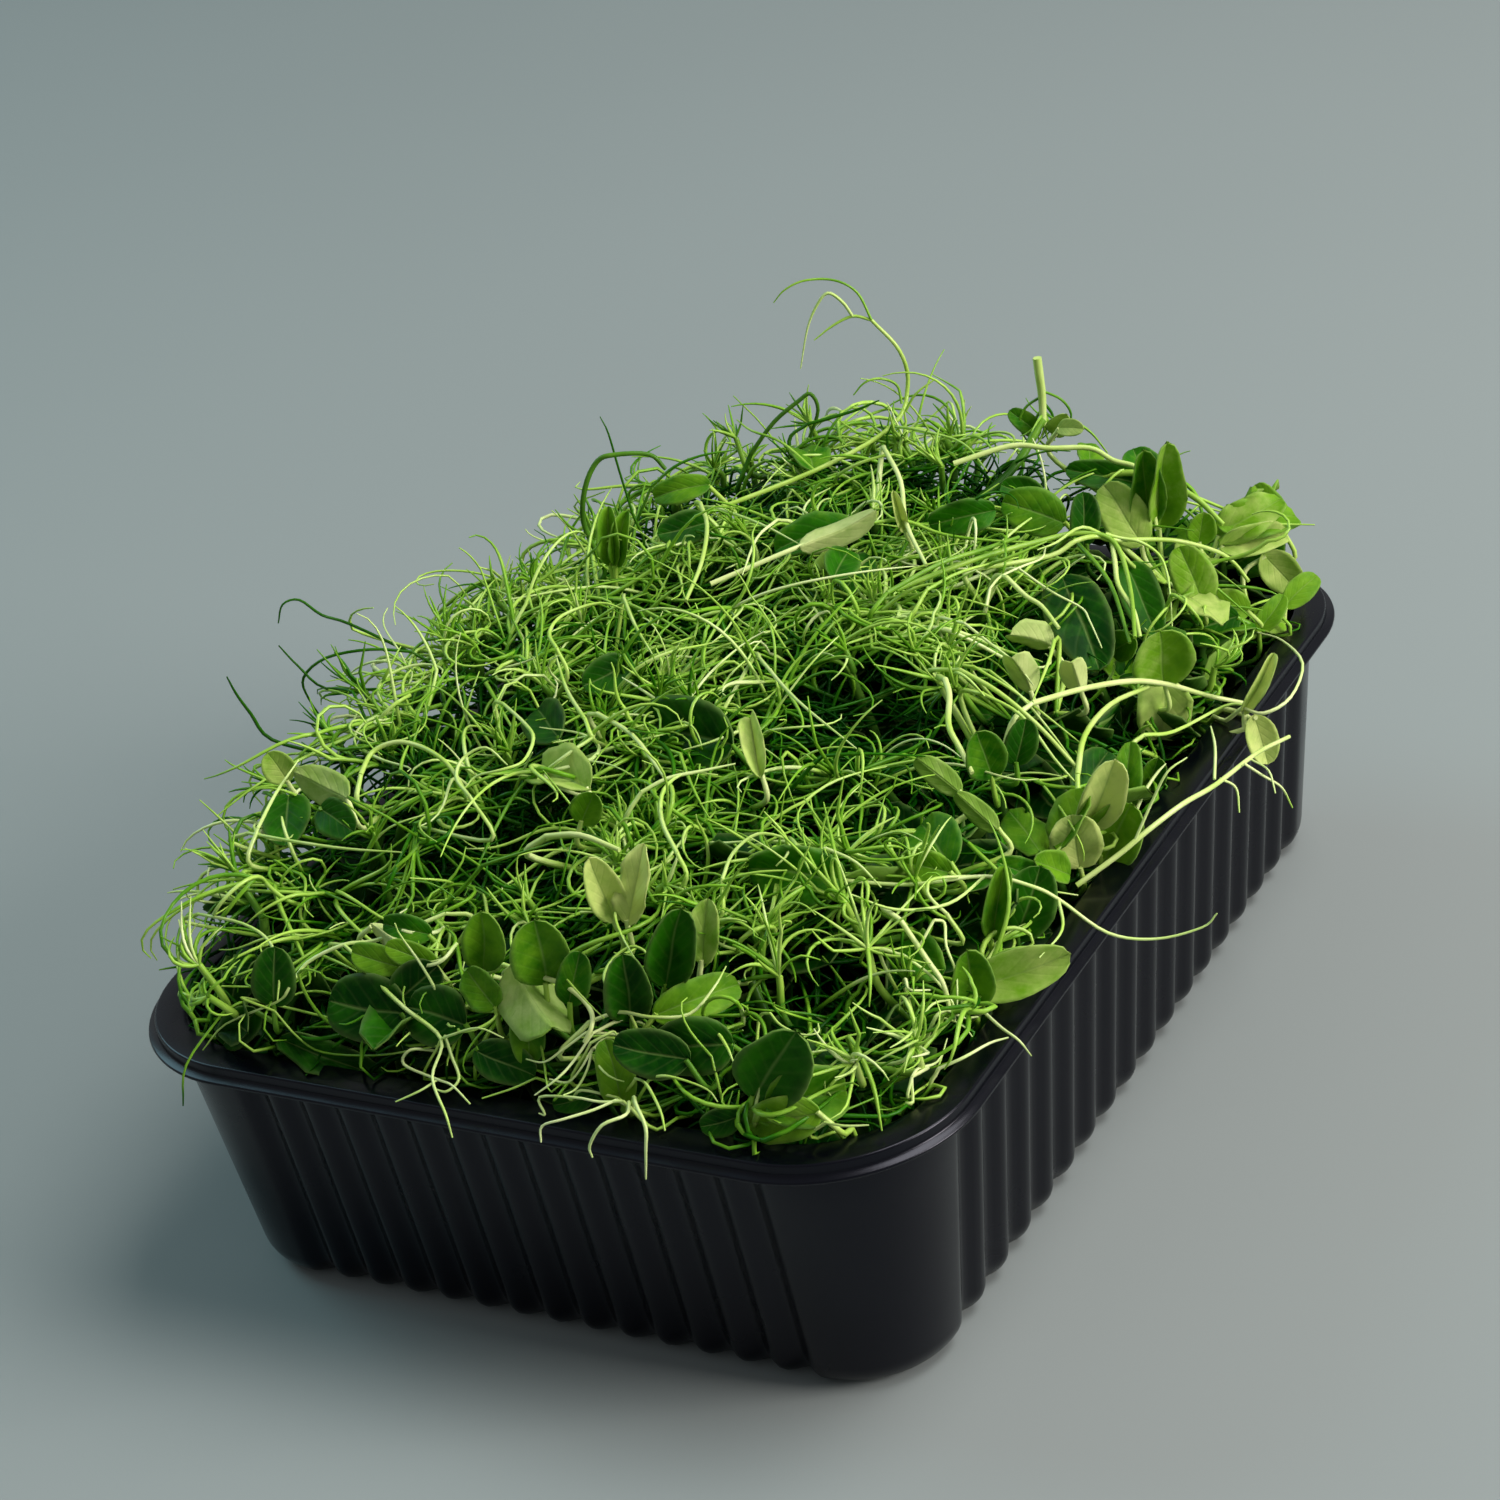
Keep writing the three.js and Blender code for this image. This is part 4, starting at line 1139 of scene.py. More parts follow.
# Many low leaves along the front rim have the lowest tones: partly their own deep green, partly painted
# shade under the leaves above them.
FRONT_LEAVES = [
    ((13, -67, 63), (11, -67, 74), 10, 5, CUPPED, 0.95), ((15, -67, 63), (18, -65, 74), -15, 5, WAVY, 1.0),
    ((-36, -86, 53), (-34, -85, 62), 0, 6.6, FLAT, 0.1),
    ((-14, -84, 54), (-26, -86, 56), 0, 10, FLAT, 0.03),
    ((-3, -84, 54), (-13, -85, 56), 0, 9, FLAT, 0.05), ((-37, -86, 47), (-20, -87, 44), 0, 5, WAVY, 0.12),
    ((-39, -86, 52), (-46, -89, 46), 0, 5.5, FLAT, 0.08),
    ((-14, -74, 61), (-21, -77, 64), 0, 4.7, ARCHED, 0.3),
    ((-24, -75, 62), (-16, -77, 60), 170, 3, FOLDED, 1.0),
    ((-11, -78, 59), (-17, -81, 63), 0, 4, FLAT, 0.5),
    ((-3, -78, 59), (-1, -77, 70), 0, 6, CUPPED, 0.5), ((8, -79, 59), (8, -78, 70), 0, 8.5, CUPPED, 0.45),
    ((12, -80, 57), (15, -79, 65), 0, 5, FLAT, 0.3), ((2, -78, 61), (12, -85, 54), 165, 8.5, FOLDED, 0.7),
    ((1, -82, 56), (-2, -83, 62), 0, 5, WAVY, 0.4), ((6, -82, 57), (7, -86, 50), 0, 5, FLAT, 0.4),
    ((25, -75, 59), (29, -72, 72), 0, 6.8, CUPPED, 0.2), ((22, -80, 56), (22, -79, 68), 0, 7, CUPPED, 0.12),
    ((25, -79, 57), (36, -72, 59), 0, 6.3, ARCHED, 0.5),
    ((38, -80, 55), (28, -86, 56), 0, 8.3, ARCHED, 0.1),
    ((22, -86, 46), (22, -87, 56), 0, 5.3, ARCHED, 0.5), ((43, -86, 51), (51, -82, 62), 0, 10, CUPPED, 0.2),
    ((45, -86, 51), (55, -80, 50), 0, 8, FOLDED, 0.38), ((53, -85, 50), (43, -90, 49), 0, 6.6, ARCHED, 0.6),
    ((41, -86, 48), (36, -89, 47), 0, 4, FLAT, 0.12), ((29, -71, 61), (31, -70, 70), 0, 4.5, WAVY, 0.75),
    ((-1, -86, 52), (8, -87, 49), 0, 6, FLAT, 0.05), ((18, -86, 47), (12, -89, 46), 0, 3.5, FLAT, 0.15),
    ((-16, -83, 55), (-10, -80, 60), 0, 7, FLAT, 0.05), ((33, -84, 54), (23, -87, 57), 0, 7, FLAT, 0.03),
]
MIDDLE_LEAVES = [
    ((-56, -49, 65), (-50, -59, 64), 0, 7, FLAT, 0.2),
    ((-40, -54, 69), (-50, -49, 69), 170, 6, ARCHED, 0.75),
    ((-57, -47, 66), (-59, -48, 72), 0, 5, CUPPED, 0.8), ((-46, -54, 67), (-38, -58, 66), 0, 6, FLAT, 0.15),
    ((-4, -43, 69), (-16, -39, 70), 30, 8, FOLDED, 0.8), ((-1, -51, 68), (2, -49, 73), 0, 5, CUPPED, 0.5),
    ((11, -25, 68), (-8, -23, 69), 0, 12, FLAT, 0.08), ((20, -33, 68), (15, -26, 75), 0, 3.5, FOLDED, 0.9),
    ((1, 32, 71), (0, 21, 71), 170, 5, ARCHED, 0.5), ((4, 36, 69), (5, 25, 69), 0, 5, FLAT, 0.1),
    ((-17, -8, 70), (-21, -15, 70), 0, 6, FLAT, 0.15), ((-17, -30, 69), (-28, -21, 69), 0, 8, FLAT, 0.1),
    ((-28, 40, 71), (-34, 33, 72), 0, 6, FLAT, 0.15), ((-33, 50, 73), (-42, 44, 74), 20, 5, ARCHED, 0.45),
    ((-39, 24, 70), (-38, 25, 80), 0, 4, FOLDED, 0.5), ((-38, 24, 70), (-35, 26, 79), 0, 3.5, FOLDED, 0.45),
    ((9, 40, 72), (9, 39, 79), 0, 2, FOLDED, 1.0),
]
RIGHT_LEAVES = [
    ((60, -9, 50), (64, -6, 62), 0, 6.5, CUPPED, 1.0), ((60, -14, 46), (60, -14, 55), 0, 8, WAVY, 0.95),
    ((61, -9, 44), (66, -5, 54), -15, 8.5, CUPPED, 0.55), ((60, 1, 46), (63, 3, 58), 0, 4.5, ARCHED, 0.4),
    ((48, -15, 61), (47, -16, 70), 0, 6.5, CUPPED, 0.35), ((49, -9, 60), (51, -8, 67), 0, 5, FLAT, 0.15),
    ((47, -23, 63), (40, -21, 67), 175, 4, ARCHED, 0.6),
    ((53, -24, 58), (46, -23, 63), 175, 3.5, ARCHED, 0.6),
    ((51, -36, 59), (43, -32, 64), 0, 8, ARCHED, 0.35), ((52, -38, 59), (46, -42, 62), 0, 5, WAVY, 0.5),
    ((59, -35, 47), (63, -33, 58), 0, 8, FLAT, 0.2), ((58, -41, 51), (61, -39, 61), 0, 4, FOLDED, 0.45),
    ((58, -51, 48), (70, -41, 50), 0, 7, CUPPED, 0.72), ((60, -52, 46), (60, -52, 57), 0, 6, CUPPED, 0.45),
    ((54, -28, 55), (60, -24, 50), 0, 4.5, WAVY, 0.3),
    ((42, 22, 63), (36, 19, 67), 150, 5, FOLDED, 0.85), ((44, 9, 62), (42, 8, 70), 165, 5, FOLDED, 0.9),
    ((50, 14, 60), (49, 13, 67), 180, 4, FOLDED, 1.0), ((58, 27, 55), (58, 27, 66), 0, 10, CUPPED, 0.6),
    ((57, 30, 55), (57, 25, 46), 0, 9, WAVY, 0.8), ((60, 12, 45), (62, 13, 51), 0, 4, CUPPED, 0.4),
    ((68, 33, 48), (73, 36, 57), 0, 2.5, FOLDED, 0.9), ((70, 33, 48), (72, 31, 41), 0, 5, CUPPED, 0.9),
    ((42, 61, 65), (43, 62, 80), 0, 6, CUPPED, 0.4), ((44, 62, 64), (46, 63, 81), 12, 6.5, CUPPED, 0.6),
    ((43, 57, 64), (39, 55, 75), 0, 7.5, ARCHED, 0.75), ((32, 53, 69), (24, 48, 75), 0, 7.5, ARCHED, 0.4),
    ((36, 51, 66), (36, 52, 75), 0, 5, FLAT, 0.12), ((49, 66, 60), (50, 67, 66), 0, 5.5, CUPPED, 0.6),
    ((50, 71, 59), (60, 77, 64), 0, 7, WAVY, 0.65), ((51, 70, 58), (61, 76, 58), 0, 5, FOLDED, 0.8),
    ((57, 84, 54), (53, 84, 63), 0, 5, ARCHED, 0.55), ((57, 74, 55), (60, 77, 47), 0, 6.5, CUPPED, 0.8),
    ((62, 68, 48), (66, 74, 52), 0, 4.5, FLAT, 0.55), ((54, 54, 55), (53, 52, 66), 0, 7, ARCHED, 0.65),
    ((59, 61, 51), (54, 58, 54), 0, 5.5, FLAT, 0.55), ((59, 62, 50), (64, 65, 47), 0, 5, WAVY, 0.6),
    ((58, 59, 51), (50, 53, 50), 0, 7, FLAT, 0.15), ((60, 61, 47), (64, 64, 53), 0, 4, ARCHED, 0.5),
    ((35, 42, 65), (47, 27, 59), 0, 10, FLAT, 0.05), ((42, 52, 63), (51, 42, 57), 0, 7, FLAT, 0.2),
    ((38, 74, 66), (26, 68, 72), 0, 5, FLAT, 0.15), ((26, 57, 71), (19, 57, 73), 0, 5, CUPPED, 0.25),
    ((21, 76, 75), (26, 74, 76), 0, 3, FLAT, 0.85), ((56, -4, 52), (58, 6, 56), 0, 7, FLAT, 0.1),
]
PLACED_LEAVES = FRONT_LEAVES + MIDDLE_LEAVES + RIGHT_LEAVES
print("leaves placed one by one:", len(PLACED_LEAVES))

# %% The stems and tendrils that show
# Each is a radius in mm, a tone and the points it passes through.
FRONT_LINES = [
    (0.4, 0.9, [(0, -77, 60), (4, -78, 60), (10, -79, 60), (14, -80, 59), (17, -82, 58), (18, -84, 57),
                (17, -85, 55)]),
    (0.22, 0.9, [(17, -84, 56), (14, -86, 54), (11, -87, 52), (8, -87, 52)]),
    (0.25, 0.95, [(18, -84, 56), (16, -87, 53), (15, -90, 52), (12, -92, 50)]),
    (0.22, 0.95, [(18, -85, 54), (17, -87, 52), (15, -88, 50), (12, -88, 50)]),
    (0.22, 0.9, [(18, -85, 54), (18, -87, 52), (17, -89, 50), (16, -91, 50)]),
    (0.25, 0.95, [(22, -87, 48), (17, -88, 49), (15, -88, 47), (14, -88, 48)]),
    (0.25, 0.9, [(25, -90, 50), (22, -91, 50), (18, -91, 50), (12, -91, 49), (13, -92, 47), (12, -92, 47)]),
    (0.25, 0.95, [(24, -90, 50), (22, -93, 50), (19, -96, 50), (16, -97, 49), (16, -98, 47)]),
    (0.28, 0.95, [(26, -90, 50), (28, -94, 51), (26, -97, 51), (24, -98, 48), (24, -98, 46)]),
    (0.3, 0.95, [(27, -90, 51), (30, -94, 53), (33, -97, 52), (33, -98, 49), (32, -98, 44)]),
    (0.24, 0.85, [(25, -86, 51), (28, -88, 52), (33, -93, 52), (36, -97, 52)]),
    (0.22, 0.8, [(27, -86, 51), (30, -87, 53), (33, -87, 53), (37, -87, 52), (39, -88, 51)]),
    (0.22, 0.8, [(-6, -87, 53), (-4, -87, 54), (1, -87, 56), (5, -87, 55)]),
    (0.2, 0.75, [(9, -87, 49), (6, -89, 48), (2, -91, 47)]),
    (0.34, 0.85, [(17, -83, 57), (21, -81, 58), (26, -81, 58), (31, -79, 58), (33, -75, 60), (33, -71, 61)]),
    (0.32, 0.85, [(31, -80, 58), (35, -80, 57), (38, -82, 56), (40, -84, 55)]),
    (0.28, 0.8, [(22, -80, 57), (18, -78, 59), (16, -76, 60), (16, -73, 61), (18, -71, 62), (21, -72, 62),
                 (22, -74, 61)]),
    (0.22, 0.8, [(18, -85, 55), (20, -84, 56), (21, -83, 56), (23, -85, 55)]),
    (0.3, 0.85, [(44, -86, 51), (45, -84, 54), (47, -81, 55), (50, -79, 55), (52, -76, 54)]),
    (0.2, 0.8, [(42, -76, 58), (44, -77, 57), (47, -77, 56), (49, -76, 56), (48, -74, 56)]),
    (0.24, 0.85, [(54, -86, 49), (57, -86, 49), (60, -85, 49)]),
    (0.36, 0.6, [(54, -75, 54), (58, -79, 51), (60, -82, 46)]),
    (0.3, 0.9, [(53, -57, 57), (57, -57, 54), (60, -58, 51), (60, -58, 48)]),
    (0.36, 0.85, [(-13, -71, 63), (-17, -74, 62), (-23, -76, 60), (-27, -78, 60), (-32, -81, 58),
                  (-33, -85, 56),
                  (-35, -86, 54), (-44, -88, 50), (-48, -90, 46)]),
    (0.3, 0.8, [(-27, -78, 60), (-22, -80, 59), (-16, -79, 59), (-10, -78, 60), (-9, -75, 61)]),
    (0.2, 0.7, [(-35, -87, 53), (-32, -87, 49), (-28, -87, 47), (-19, -87, 48), (-12, -87, 50),
                (-6, -87, 52)]),
    (0.3, 0.8, [(-55, -76, 60), (-45, -78, 61), (-39, -80, 60), (-35, -84, 58), (-34, -87, 55)]),
    (0.24, 0.5, [(-44, -88, 52), (-47, -95, 47), (-49, -96, 40)]),
]
WISPS = [
    (0.32, 0.1, [(-60, -32, 62), (-67, -37, 67), (-69, -38, 72), (-70, -39, 76), (-71, -39, 79)]),
    (0.28, 0.1, [(-60, -4, 65), (-69, -9, 73), (-72, -12, 76), (-75, -13, 79), (-77, -15, 79),
                 (-78, -16, 76)]),
    (0.24, 0.15, [(-61, -15, 65), (-68, -20, 67), (-71, -22, 72), (-73, -23, 76)]),
    (0.28, 0.1, [(-58, -9, 69), (-63, -13, 71), (-69, -17, 71), (-73, -19, 68), (-73, -19, 64),
                 (-71, -18, 58)]),
    (0.48, 0.2, [(-45, 30, 68), (-46, 29, 75), (-45, 30, 81), (-43, 32, 85), (-40, 33, 86), (-35, 36, 85),
                 (-33, 37, 82)]),
    (0.28, 0.2, [(-42, 38, 73), (-43, 38, 81), (-43, 37, 88), (-44, 37, 91)]),
    (0.28, 0.3, [(-45, 50, 72), (-41, 52, 75), (-37, 55, 76), (-32, 58, 76)]),
    (0.4, 0.15, [(-37, 71, 69), (-33, 74, 74), (-29, 77, 77), (-27, 78, 78), (-26, 78, 75), (-28, 77, 70)]),
    (0.32, 0.2, [(-25, 72, 75), (-18, 76, 76), (-14, 79, 77)]),
]
MIDDLE_LINES = [
    (0.36, 0.85, [(-52, -62, 67), (-53, -55, 69), (-53, -48, 71)]),
    (0.32, 0.8, [(-54, -62, 66), (-43, -64, 67), (-34, -64, 67), (-25, -63, 67)]),
    (0.4, 0.8, [(-40, -50, 71), (-41, -45, 72), (-38, -43, 73), (-34, -43, 73), (-29, -45, 73),
                (-25, -47, 72), (-20, -51, 70)]),
    (0.32, 0.85, [(-19, -52, 71), (-23, -49, 72), (-24, -45, 73), (-21, -43, 74), (-17, -44, 72)]),
    (0.32, 0.8, [(-26, -30, 74), (-19, -35, 74), (-15, -39, 74), (-14, -44, 73), (-16, -47, 73),
                 (-20, -48, 72), (-21, -50, 71)]),
    (0.4, 0.9, [(-9, -30, 74), (0, -35, 74), (9, -42, 72)]),
    (0.36, 0.9, [(8, -47, 72), (11, -44, 73), (15, -41, 73), (19, -38, 73)]),
    (0.36, 0.8, [(19, -57, 69), (14, -52, 71), (12, -47, 73), (13, -42, 73), (17, -40, 72)]),
    (0.36, 0.75, [(-27, -12, 74), (-30, -9, 75), (-31, -3, 75), (-27, 2, 75), (-22, 2, 74)]),
    (0.36, 0.8, [(-10, -32, 74), (-18, -24, 74), (-26, -14, 74)]),
    (0.32, 0.8, [(-25, 6, 74), (-17, -4, 75), (-10, -11, 74)]),
    (0.32, 0.8, [(27, -59, 67), (27, -55, 69), (29, -51, 70), (33, -50, 69), (34, -52, 68), (33, -54, 67)]),
    (0.48, 0.95, [(-3, -57, 69), (3, -57, 70), (10, -58, 69)]),
    (0.32, 0.9, [(38, -48, 67), (43, -49, 66), (47, -50, 63)]),
    (0.32, 0.9, [(8, -9, 74), (20, -20, 74), (33, -27, 71)]),
    (0.4, 0.8, [(-30, 41, 74), (-23, 31, 75), (-17, 18, 75), (-14, 7, 74)]),
    (0.32, 0.85, [(-28, 42, 73), (-15, 35, 74), (-6, 31, 73)]),
    (0.32, 0.95, [(-13, 37, 74), (-12, 28, 75), (-9, 17, 74)]),
]
RIGHT_LINES = [
    (0.42, 0.8, [(26, 31, 71), (34, 41, 69), (37, 45, 70), (39, 49, 69), (41, 50, 68), (45, 55, 66),
                 (49, 59, 64),
                 (53, 64, 60), (55, 66, 57), (58, 64, 55)]),
    (0.4, 0.8, [(36, 2, 69), (43, 0, 67), (50, -2, 63), (56, -3, 57)]),
    (0.36, 0.8, [(41, -1, 67), (48, -3, 65), (54, -6, 60), (58, -6, 55)]),
    (0.32, 0.8, [(37, 5, 68), (45, 3, 65), (55, 2, 58)]),
    (0.28, 0.85, [(39, 6, 67), (45, 3, 65), (50, 1, 61), (55, -1, 56)]),
    (0.46, 0.95, [(48, 1, 65), (52, 10, 63), (56, 19, 60), (59, 26, 56), (62, 34, 50), (66, 38, 47)]),
    (0.46, 0.8, [(57, -5, 57), (55, 3, 59), (55, 13, 59), (57, 23, 57)]),
    (0.46, 0.85, [(41, 50, 68), (43, 46, 66), (45, 42, 64), (49, 38, 62), (51, 35, 59)]),
    (0.4, 0.35, [(35, 49, 68), (44, 41, 65), (51, 31, 60)]),
    (0.34, 0.7, [(44, 19, 66), (46, 12, 66), (47, 3, 64)]),
    (0.26, 1.0, [(31, 25, 71), (31, 29, 71), (33, 33, 71), (34, 38, 70), (33, 42, 70)]),
    (0.26, 0.95, [(33, 32, 71), (37, 31, 69), (40, 30, 68), (44, 30, 66), (46, 28, 65), (49, 25, 62)]),
    (0.42, 0.9, [(32, 29, 71), (36, 27, 69), (39, 26, 68), (43, 23, 66)]),
    (0.3, 0.95, [(32, 13, 71), (37, 11, 69), (42, 9, 67), (45, 8, 64)]),
    (0.34, 0.85, [(55, -47, 58), (53, -47, 60), (52, -46, 61), (52, -43, 61), (57, -35, 57), (61, -29, 52),
                  (63, -22, 47)]),
    (0.5, 0.85, [(36, -3, 70), (38, -6, 69), (41, -13, 68), (44, -16, 66), (47, -19, 64)]),
    (0.4, 0.45, [(17, 17, 73), (22, 26, 74), (26, 34, 73), (29, 41, 72)]),
    (0.34, 0.7, [(23, 19, 73), (26, 26, 73), (31, 36, 71)]),
    (0.42, 0.95, [(-3, 59, 77), (4, 50, 76), (10, 39, 74), (18, 29, 72)]),
    (0.34, 0.8, [(41, 50, 68), (37, 48, 71), (35, 42, 71), (33, 39, 71)]),
    (0.32, 0.95, [(68, 33, 49), (72, 32, 49), (75, 36, 50), (73, 47, 50), (67, 54, 50), (62, 56, 50)]),
    (0.36, 0.8, [(59, 15, 53), (61, 22, 50), (65, 33, 49), (68, 34, 49)]),
    (0.36, 0.95, [(63, -3, 46), (63, 3, 49), (64, 7, 51), (65, 9, 52)]),
    (0.4, 0.95, [(51, -53, 60), (56, -56, 56), (59, -58, 54), (60, -59, 50)]),
    (0.36, 0.8, [(60, -41, 47), (60, -44, 47), (60, -47, 45)]),
    (0.26, 0.9, [(54, -49, 58), (55, -48, 57), (57, -52, 56), (59, -54, 53), (60, -57, 49)]),
    (0.24, 0.95, [(55, -61, 56), (56, -62, 55), (58, -60, 54)]),
    (0.24, 0.9, [(59, -68, 53), (59, -62, 53), (60, -59, 52)]),
    (0.24, 0.9, [(60, -60, 51), (61, -57, 48), (62, -55, 47)]),
    (0.26, 0.95, [(60, -72, 48), (60, -70, 48), (61, -67, 47), (61, -64, 47)]),
    (0.26, 0.95, [(60, -72, 48), (60, -74, 46), (60, -71, 45), (60, -67, 44), (60, -64, 45), (60, -61, 47)]),
    (0.28, 1.0, [(63, -55, 48), (67, -58, 48), (70, -59, 47), (71, -58, 44)]),
    (0.28, 0.95, [(62, -68, 47), (65, -66, 48), (67, -62, 48), (69, -60, 48)]),
]
PLACED_LINES = FRONT_LINES + WISPS + MIDDLE_LINES + RIGHT_LINES
# Each tuft is its root, the way it points, how many tips it has, their length and a tone.
TUFTS = [
    ((-46, -88, 60), (-0.7, -0.3, 0.5), 18, 10, 0.6), ((-44, -90, 56), (-0.4, -0.8, -0.1), 12, 9, 0.55),
    ((-53, -68, 63), (-0.8, 0, 0.8), 14, 9, 0.5), ((-54, -4, 68), (-0.1, 0, 1), 14, 10, 0.5),
    ((-50, 17, 69), (-0.3, 0.1, 1), 13, 9, 0.45), ((-62, -18, 66), (-1, -0.3, 0.6), 12, 10, 0.35),
    ((-64, -42, 62), (-1, -0.4, 0.5), 10, 9, 0.35), ((-47, 33, 70), (-0.4, 0, 1), 10, 9, 0.4),
    ((-42, 75, 70), (-0.8, 0.3, 0.6), 12, 8, 0.45), ((-28, 78, 72), (-0.6, 0.2, 0.7), 10, 7, 0.5),
    ((60, -70, 52), (0.3, -0.4, 0.6), 18, 12, 0.75), ((54, -76, 52), (0.1, -0.6, 0.6), 16, 11, 0.75),
    ((61, 40, 52), (0.6, 0.1, 0.4), 12, 10, 0.6), ((-60, -30, 64), (-0.8, 0, 0.8), 12, 9, 0.4),
    ((24, 10, 67), (0.3, -0.7, 0.3), 20, 17, 0.6), ((14, 22, 67), (-0.3, -0.6, 0.4), 20, 17, 0.5),
    ((34, 4, 65), (-0.4, -0.8, 0.3), 18, 17, 0.55), ((48, -42, 60), (-0.5, -0.5, 0.3), 18, 15, 0.65),
    ((38, -42, 63), (-0.5, -0.4, 0.3), 20, 16, 0.6), ((30, -48, 64), (0.3, -0.5, 0.3), 20, 16, 0.6),
    ((42, -52, 61), (-0.6, -0.2, 0.3), 20, 16, 0.65), ((48, -58, 58), (-0.5, 0.3, 0.4), 18, 15, 0.7),
    ((33, -60, 60), (0.3, 0.3, 0.6), 18, 14, 0.6), ((26, -63, 61), (0.5, 0.5, 0.5), 18, 15, 0.6),
    ((38, -66, 57), (-0.3, 0.4, 0.6), 16, 14, 0.65), ((28, 14, 66), (-0.2, -0.3, 0.5), 16, 15, 0.6),
]
print("lines placed one by one:", len(PLACED_LINES), "tufts:", len(TUFTS))

# %% [markdown]
# ## The standing shoots
# Each standing shoot has a few stems from the tray's floor up to the heap's surface. A stem
# has joints near its top, and every joint carries a spray of tendrils and, where the heap is
# leafy, a pair of leaves. The front and the right are the leafy sides; the middle and the left
# are nearly all tendrils. What was placed one by one grows out of the nearest stem.

# %% Where the leaves are


def leafiness(x, y):
    """The share of joints that carry leaves, from 0 to 1."""
    front = 0.7 * ease((-y - 60) / 14) * (0.4 + 0.6 * ease((x + 58) / 20)) * (1 - 0.8 * ease((x - 28) / 12))
    right = ease((x - 14) / 36) * (0.35 + 0.65 * ease((y + 62) / 25))
    rear = ease((y - 48) / 30) * ease((x + 5) / 30)
    return float(np.clip(0.05 + 0.95 * front + 0.8 * right + 0.4 * rear, 0, 1))


def leaf_tone_with_front_shade(x, y):
    """Deep green on the left and in front, paler to the right and back; the front drop is painted shade."""
    return 0.2 + 0.32 * float(ease((x - 5) / 45) * ease((y + 60) / 40)) - 0.1 * float(ease((-y - 60) / 10))


# %% Sharing out what was placed one by one
ROWS, COLUMNS = 8, 5
STANDING = [f"pea_shoot_row{row}_{column}" for row in range(1, ROWS + 1) for column in range(1, COLUMNS + 1)]
MIDDLES = {node: (np.array(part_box(node)[0]) + np.array(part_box(node)[1])) / 2 / MM for node in STANDING}


def nearest_shoot(place):
    """The standing shoot whose middle is nearest to a place in plan."""
    return min(STANDING, key=lambda node: np.hypot(*(MIDDLES[node] - place)[:2]))


placed = {node: {"leaves": [], "lines": [], "tufts": []} for node in STANDING}
for leaf in PLACED_LEAVES:
    placed[nearest_shoot(leaf[0])]["leaves"].append(leaf)
for line in PLACED_LINES:
    placed[nearest_shoot(line[2][0])]["lines"].append(line)
for plume in TUFTS:
    placed[nearest_shoot(plume[0])]["tufts"].append(plume)

# %% Growing what was placed one by one
# A placed line this thick is a stem. It keeps most of its thickness, and a tendril thins out.
THINNEST_STEM, STEM_TAPER, TENDRIL_END = 0.4, 0.75, 0.12
STEM_STALK, TENDRIL_STALK = 0.6, 0.1
SHOWN_SIDE = unit(np.array([0.48, -0.74, 0.47]))


def place_leaf(sketch, row):
    """A fine leaf between two points, rolled about its midrib from the side that shows."""
    base, tip, roll, width, form, tone = row
    base, tip = np.array(base, float), np.array(tip, float)
    along = unit(tip - base)
    level = unit(np.cross(along, SHOWN_SIDE))
    turn = math.radians(roll)
    up = math.cos(turn) * np.cross(level, along) + math.sin(turn) * level
    sketch.leaf(base, along, up, np.linalg.norm(tip - base), width, FINE + form, tone)
    return base, along


def join_to_stem(sketch, stems, place, heading, thick, tone, stalk):
    """A stalk from the nearest lower point of the shoot's stems up to a placed thing."""
    below = stems[stems[:, 2] < place[2] - 5]
    near = below[np.argmin(np.linalg.norm(below - place, axis=1))]
    gap = np.linalg.norm(place - near)
    middle = place - unit(heading) * gap * 0.35 - UP * gap * 0.12
    path = smooth_path([near, middle, place], 5)
    sketch.line(path, thick * 1.2, thick, tone, stalk)


def draw_placed(sketch, row, per_span, clear=True):
    """A placed stem or tendril, from its radius, tone and points; returns its path."""
    thick, tone, points = row
    path = smooth_path(points, per_span)
    is_stem = thick >= THINNEST_STEM
    thin = thick * STEM_TAPER if is_stem else TENDRIL_END
    sketch.line(path, thick, thin, tone, STEM_STALK if is_stem else TENDRIL_STALK, clear)
    return path


def grow_placed(sketch, stems, node):
    """Adds the placed leaves, lines and tufts of one shoot."""
    for row in placed[node]["leaves"]:
        base, along = place_leaf(sketch, row)
        stalk_tone = min(row[5] + 0.25, 1)
        join_to_stem(sketch, stems, base + along * 0.5, along + UP, 0.38, stalk_tone, STEM_STALK)
    for row in placed[node]["lines"]:
        path = draw_placed(sketch, row, 4)
        join_to_stem(sketch, stems, path[0], path[1] - path[0] + 0.5 * UP, row[0], row[1], 0.3)
    for root, heading, count, length, tone in placed[node]["tufts"]:
        tuft(sketch, root, heading, count, length, tone)
        root = np.array(root, float)
        join_to_stem(sketch, stems, root, np.array(heading) + UP, 0.5, tone, STEM_STALK)


# %% Growing a standing shoot
STEMS_PER_SHOOT, JOINTS_PER_STEM, TENDRILS_PER_SPRAY = 4, 3, 12
# How far along a stem, as a share of its points: its lowest joint with a spray, and its leaves
# inside the heap.
FIRST_JOINT, HIDDEN_LEAVES = 0.72, (0.45, 0.58, 0.72)


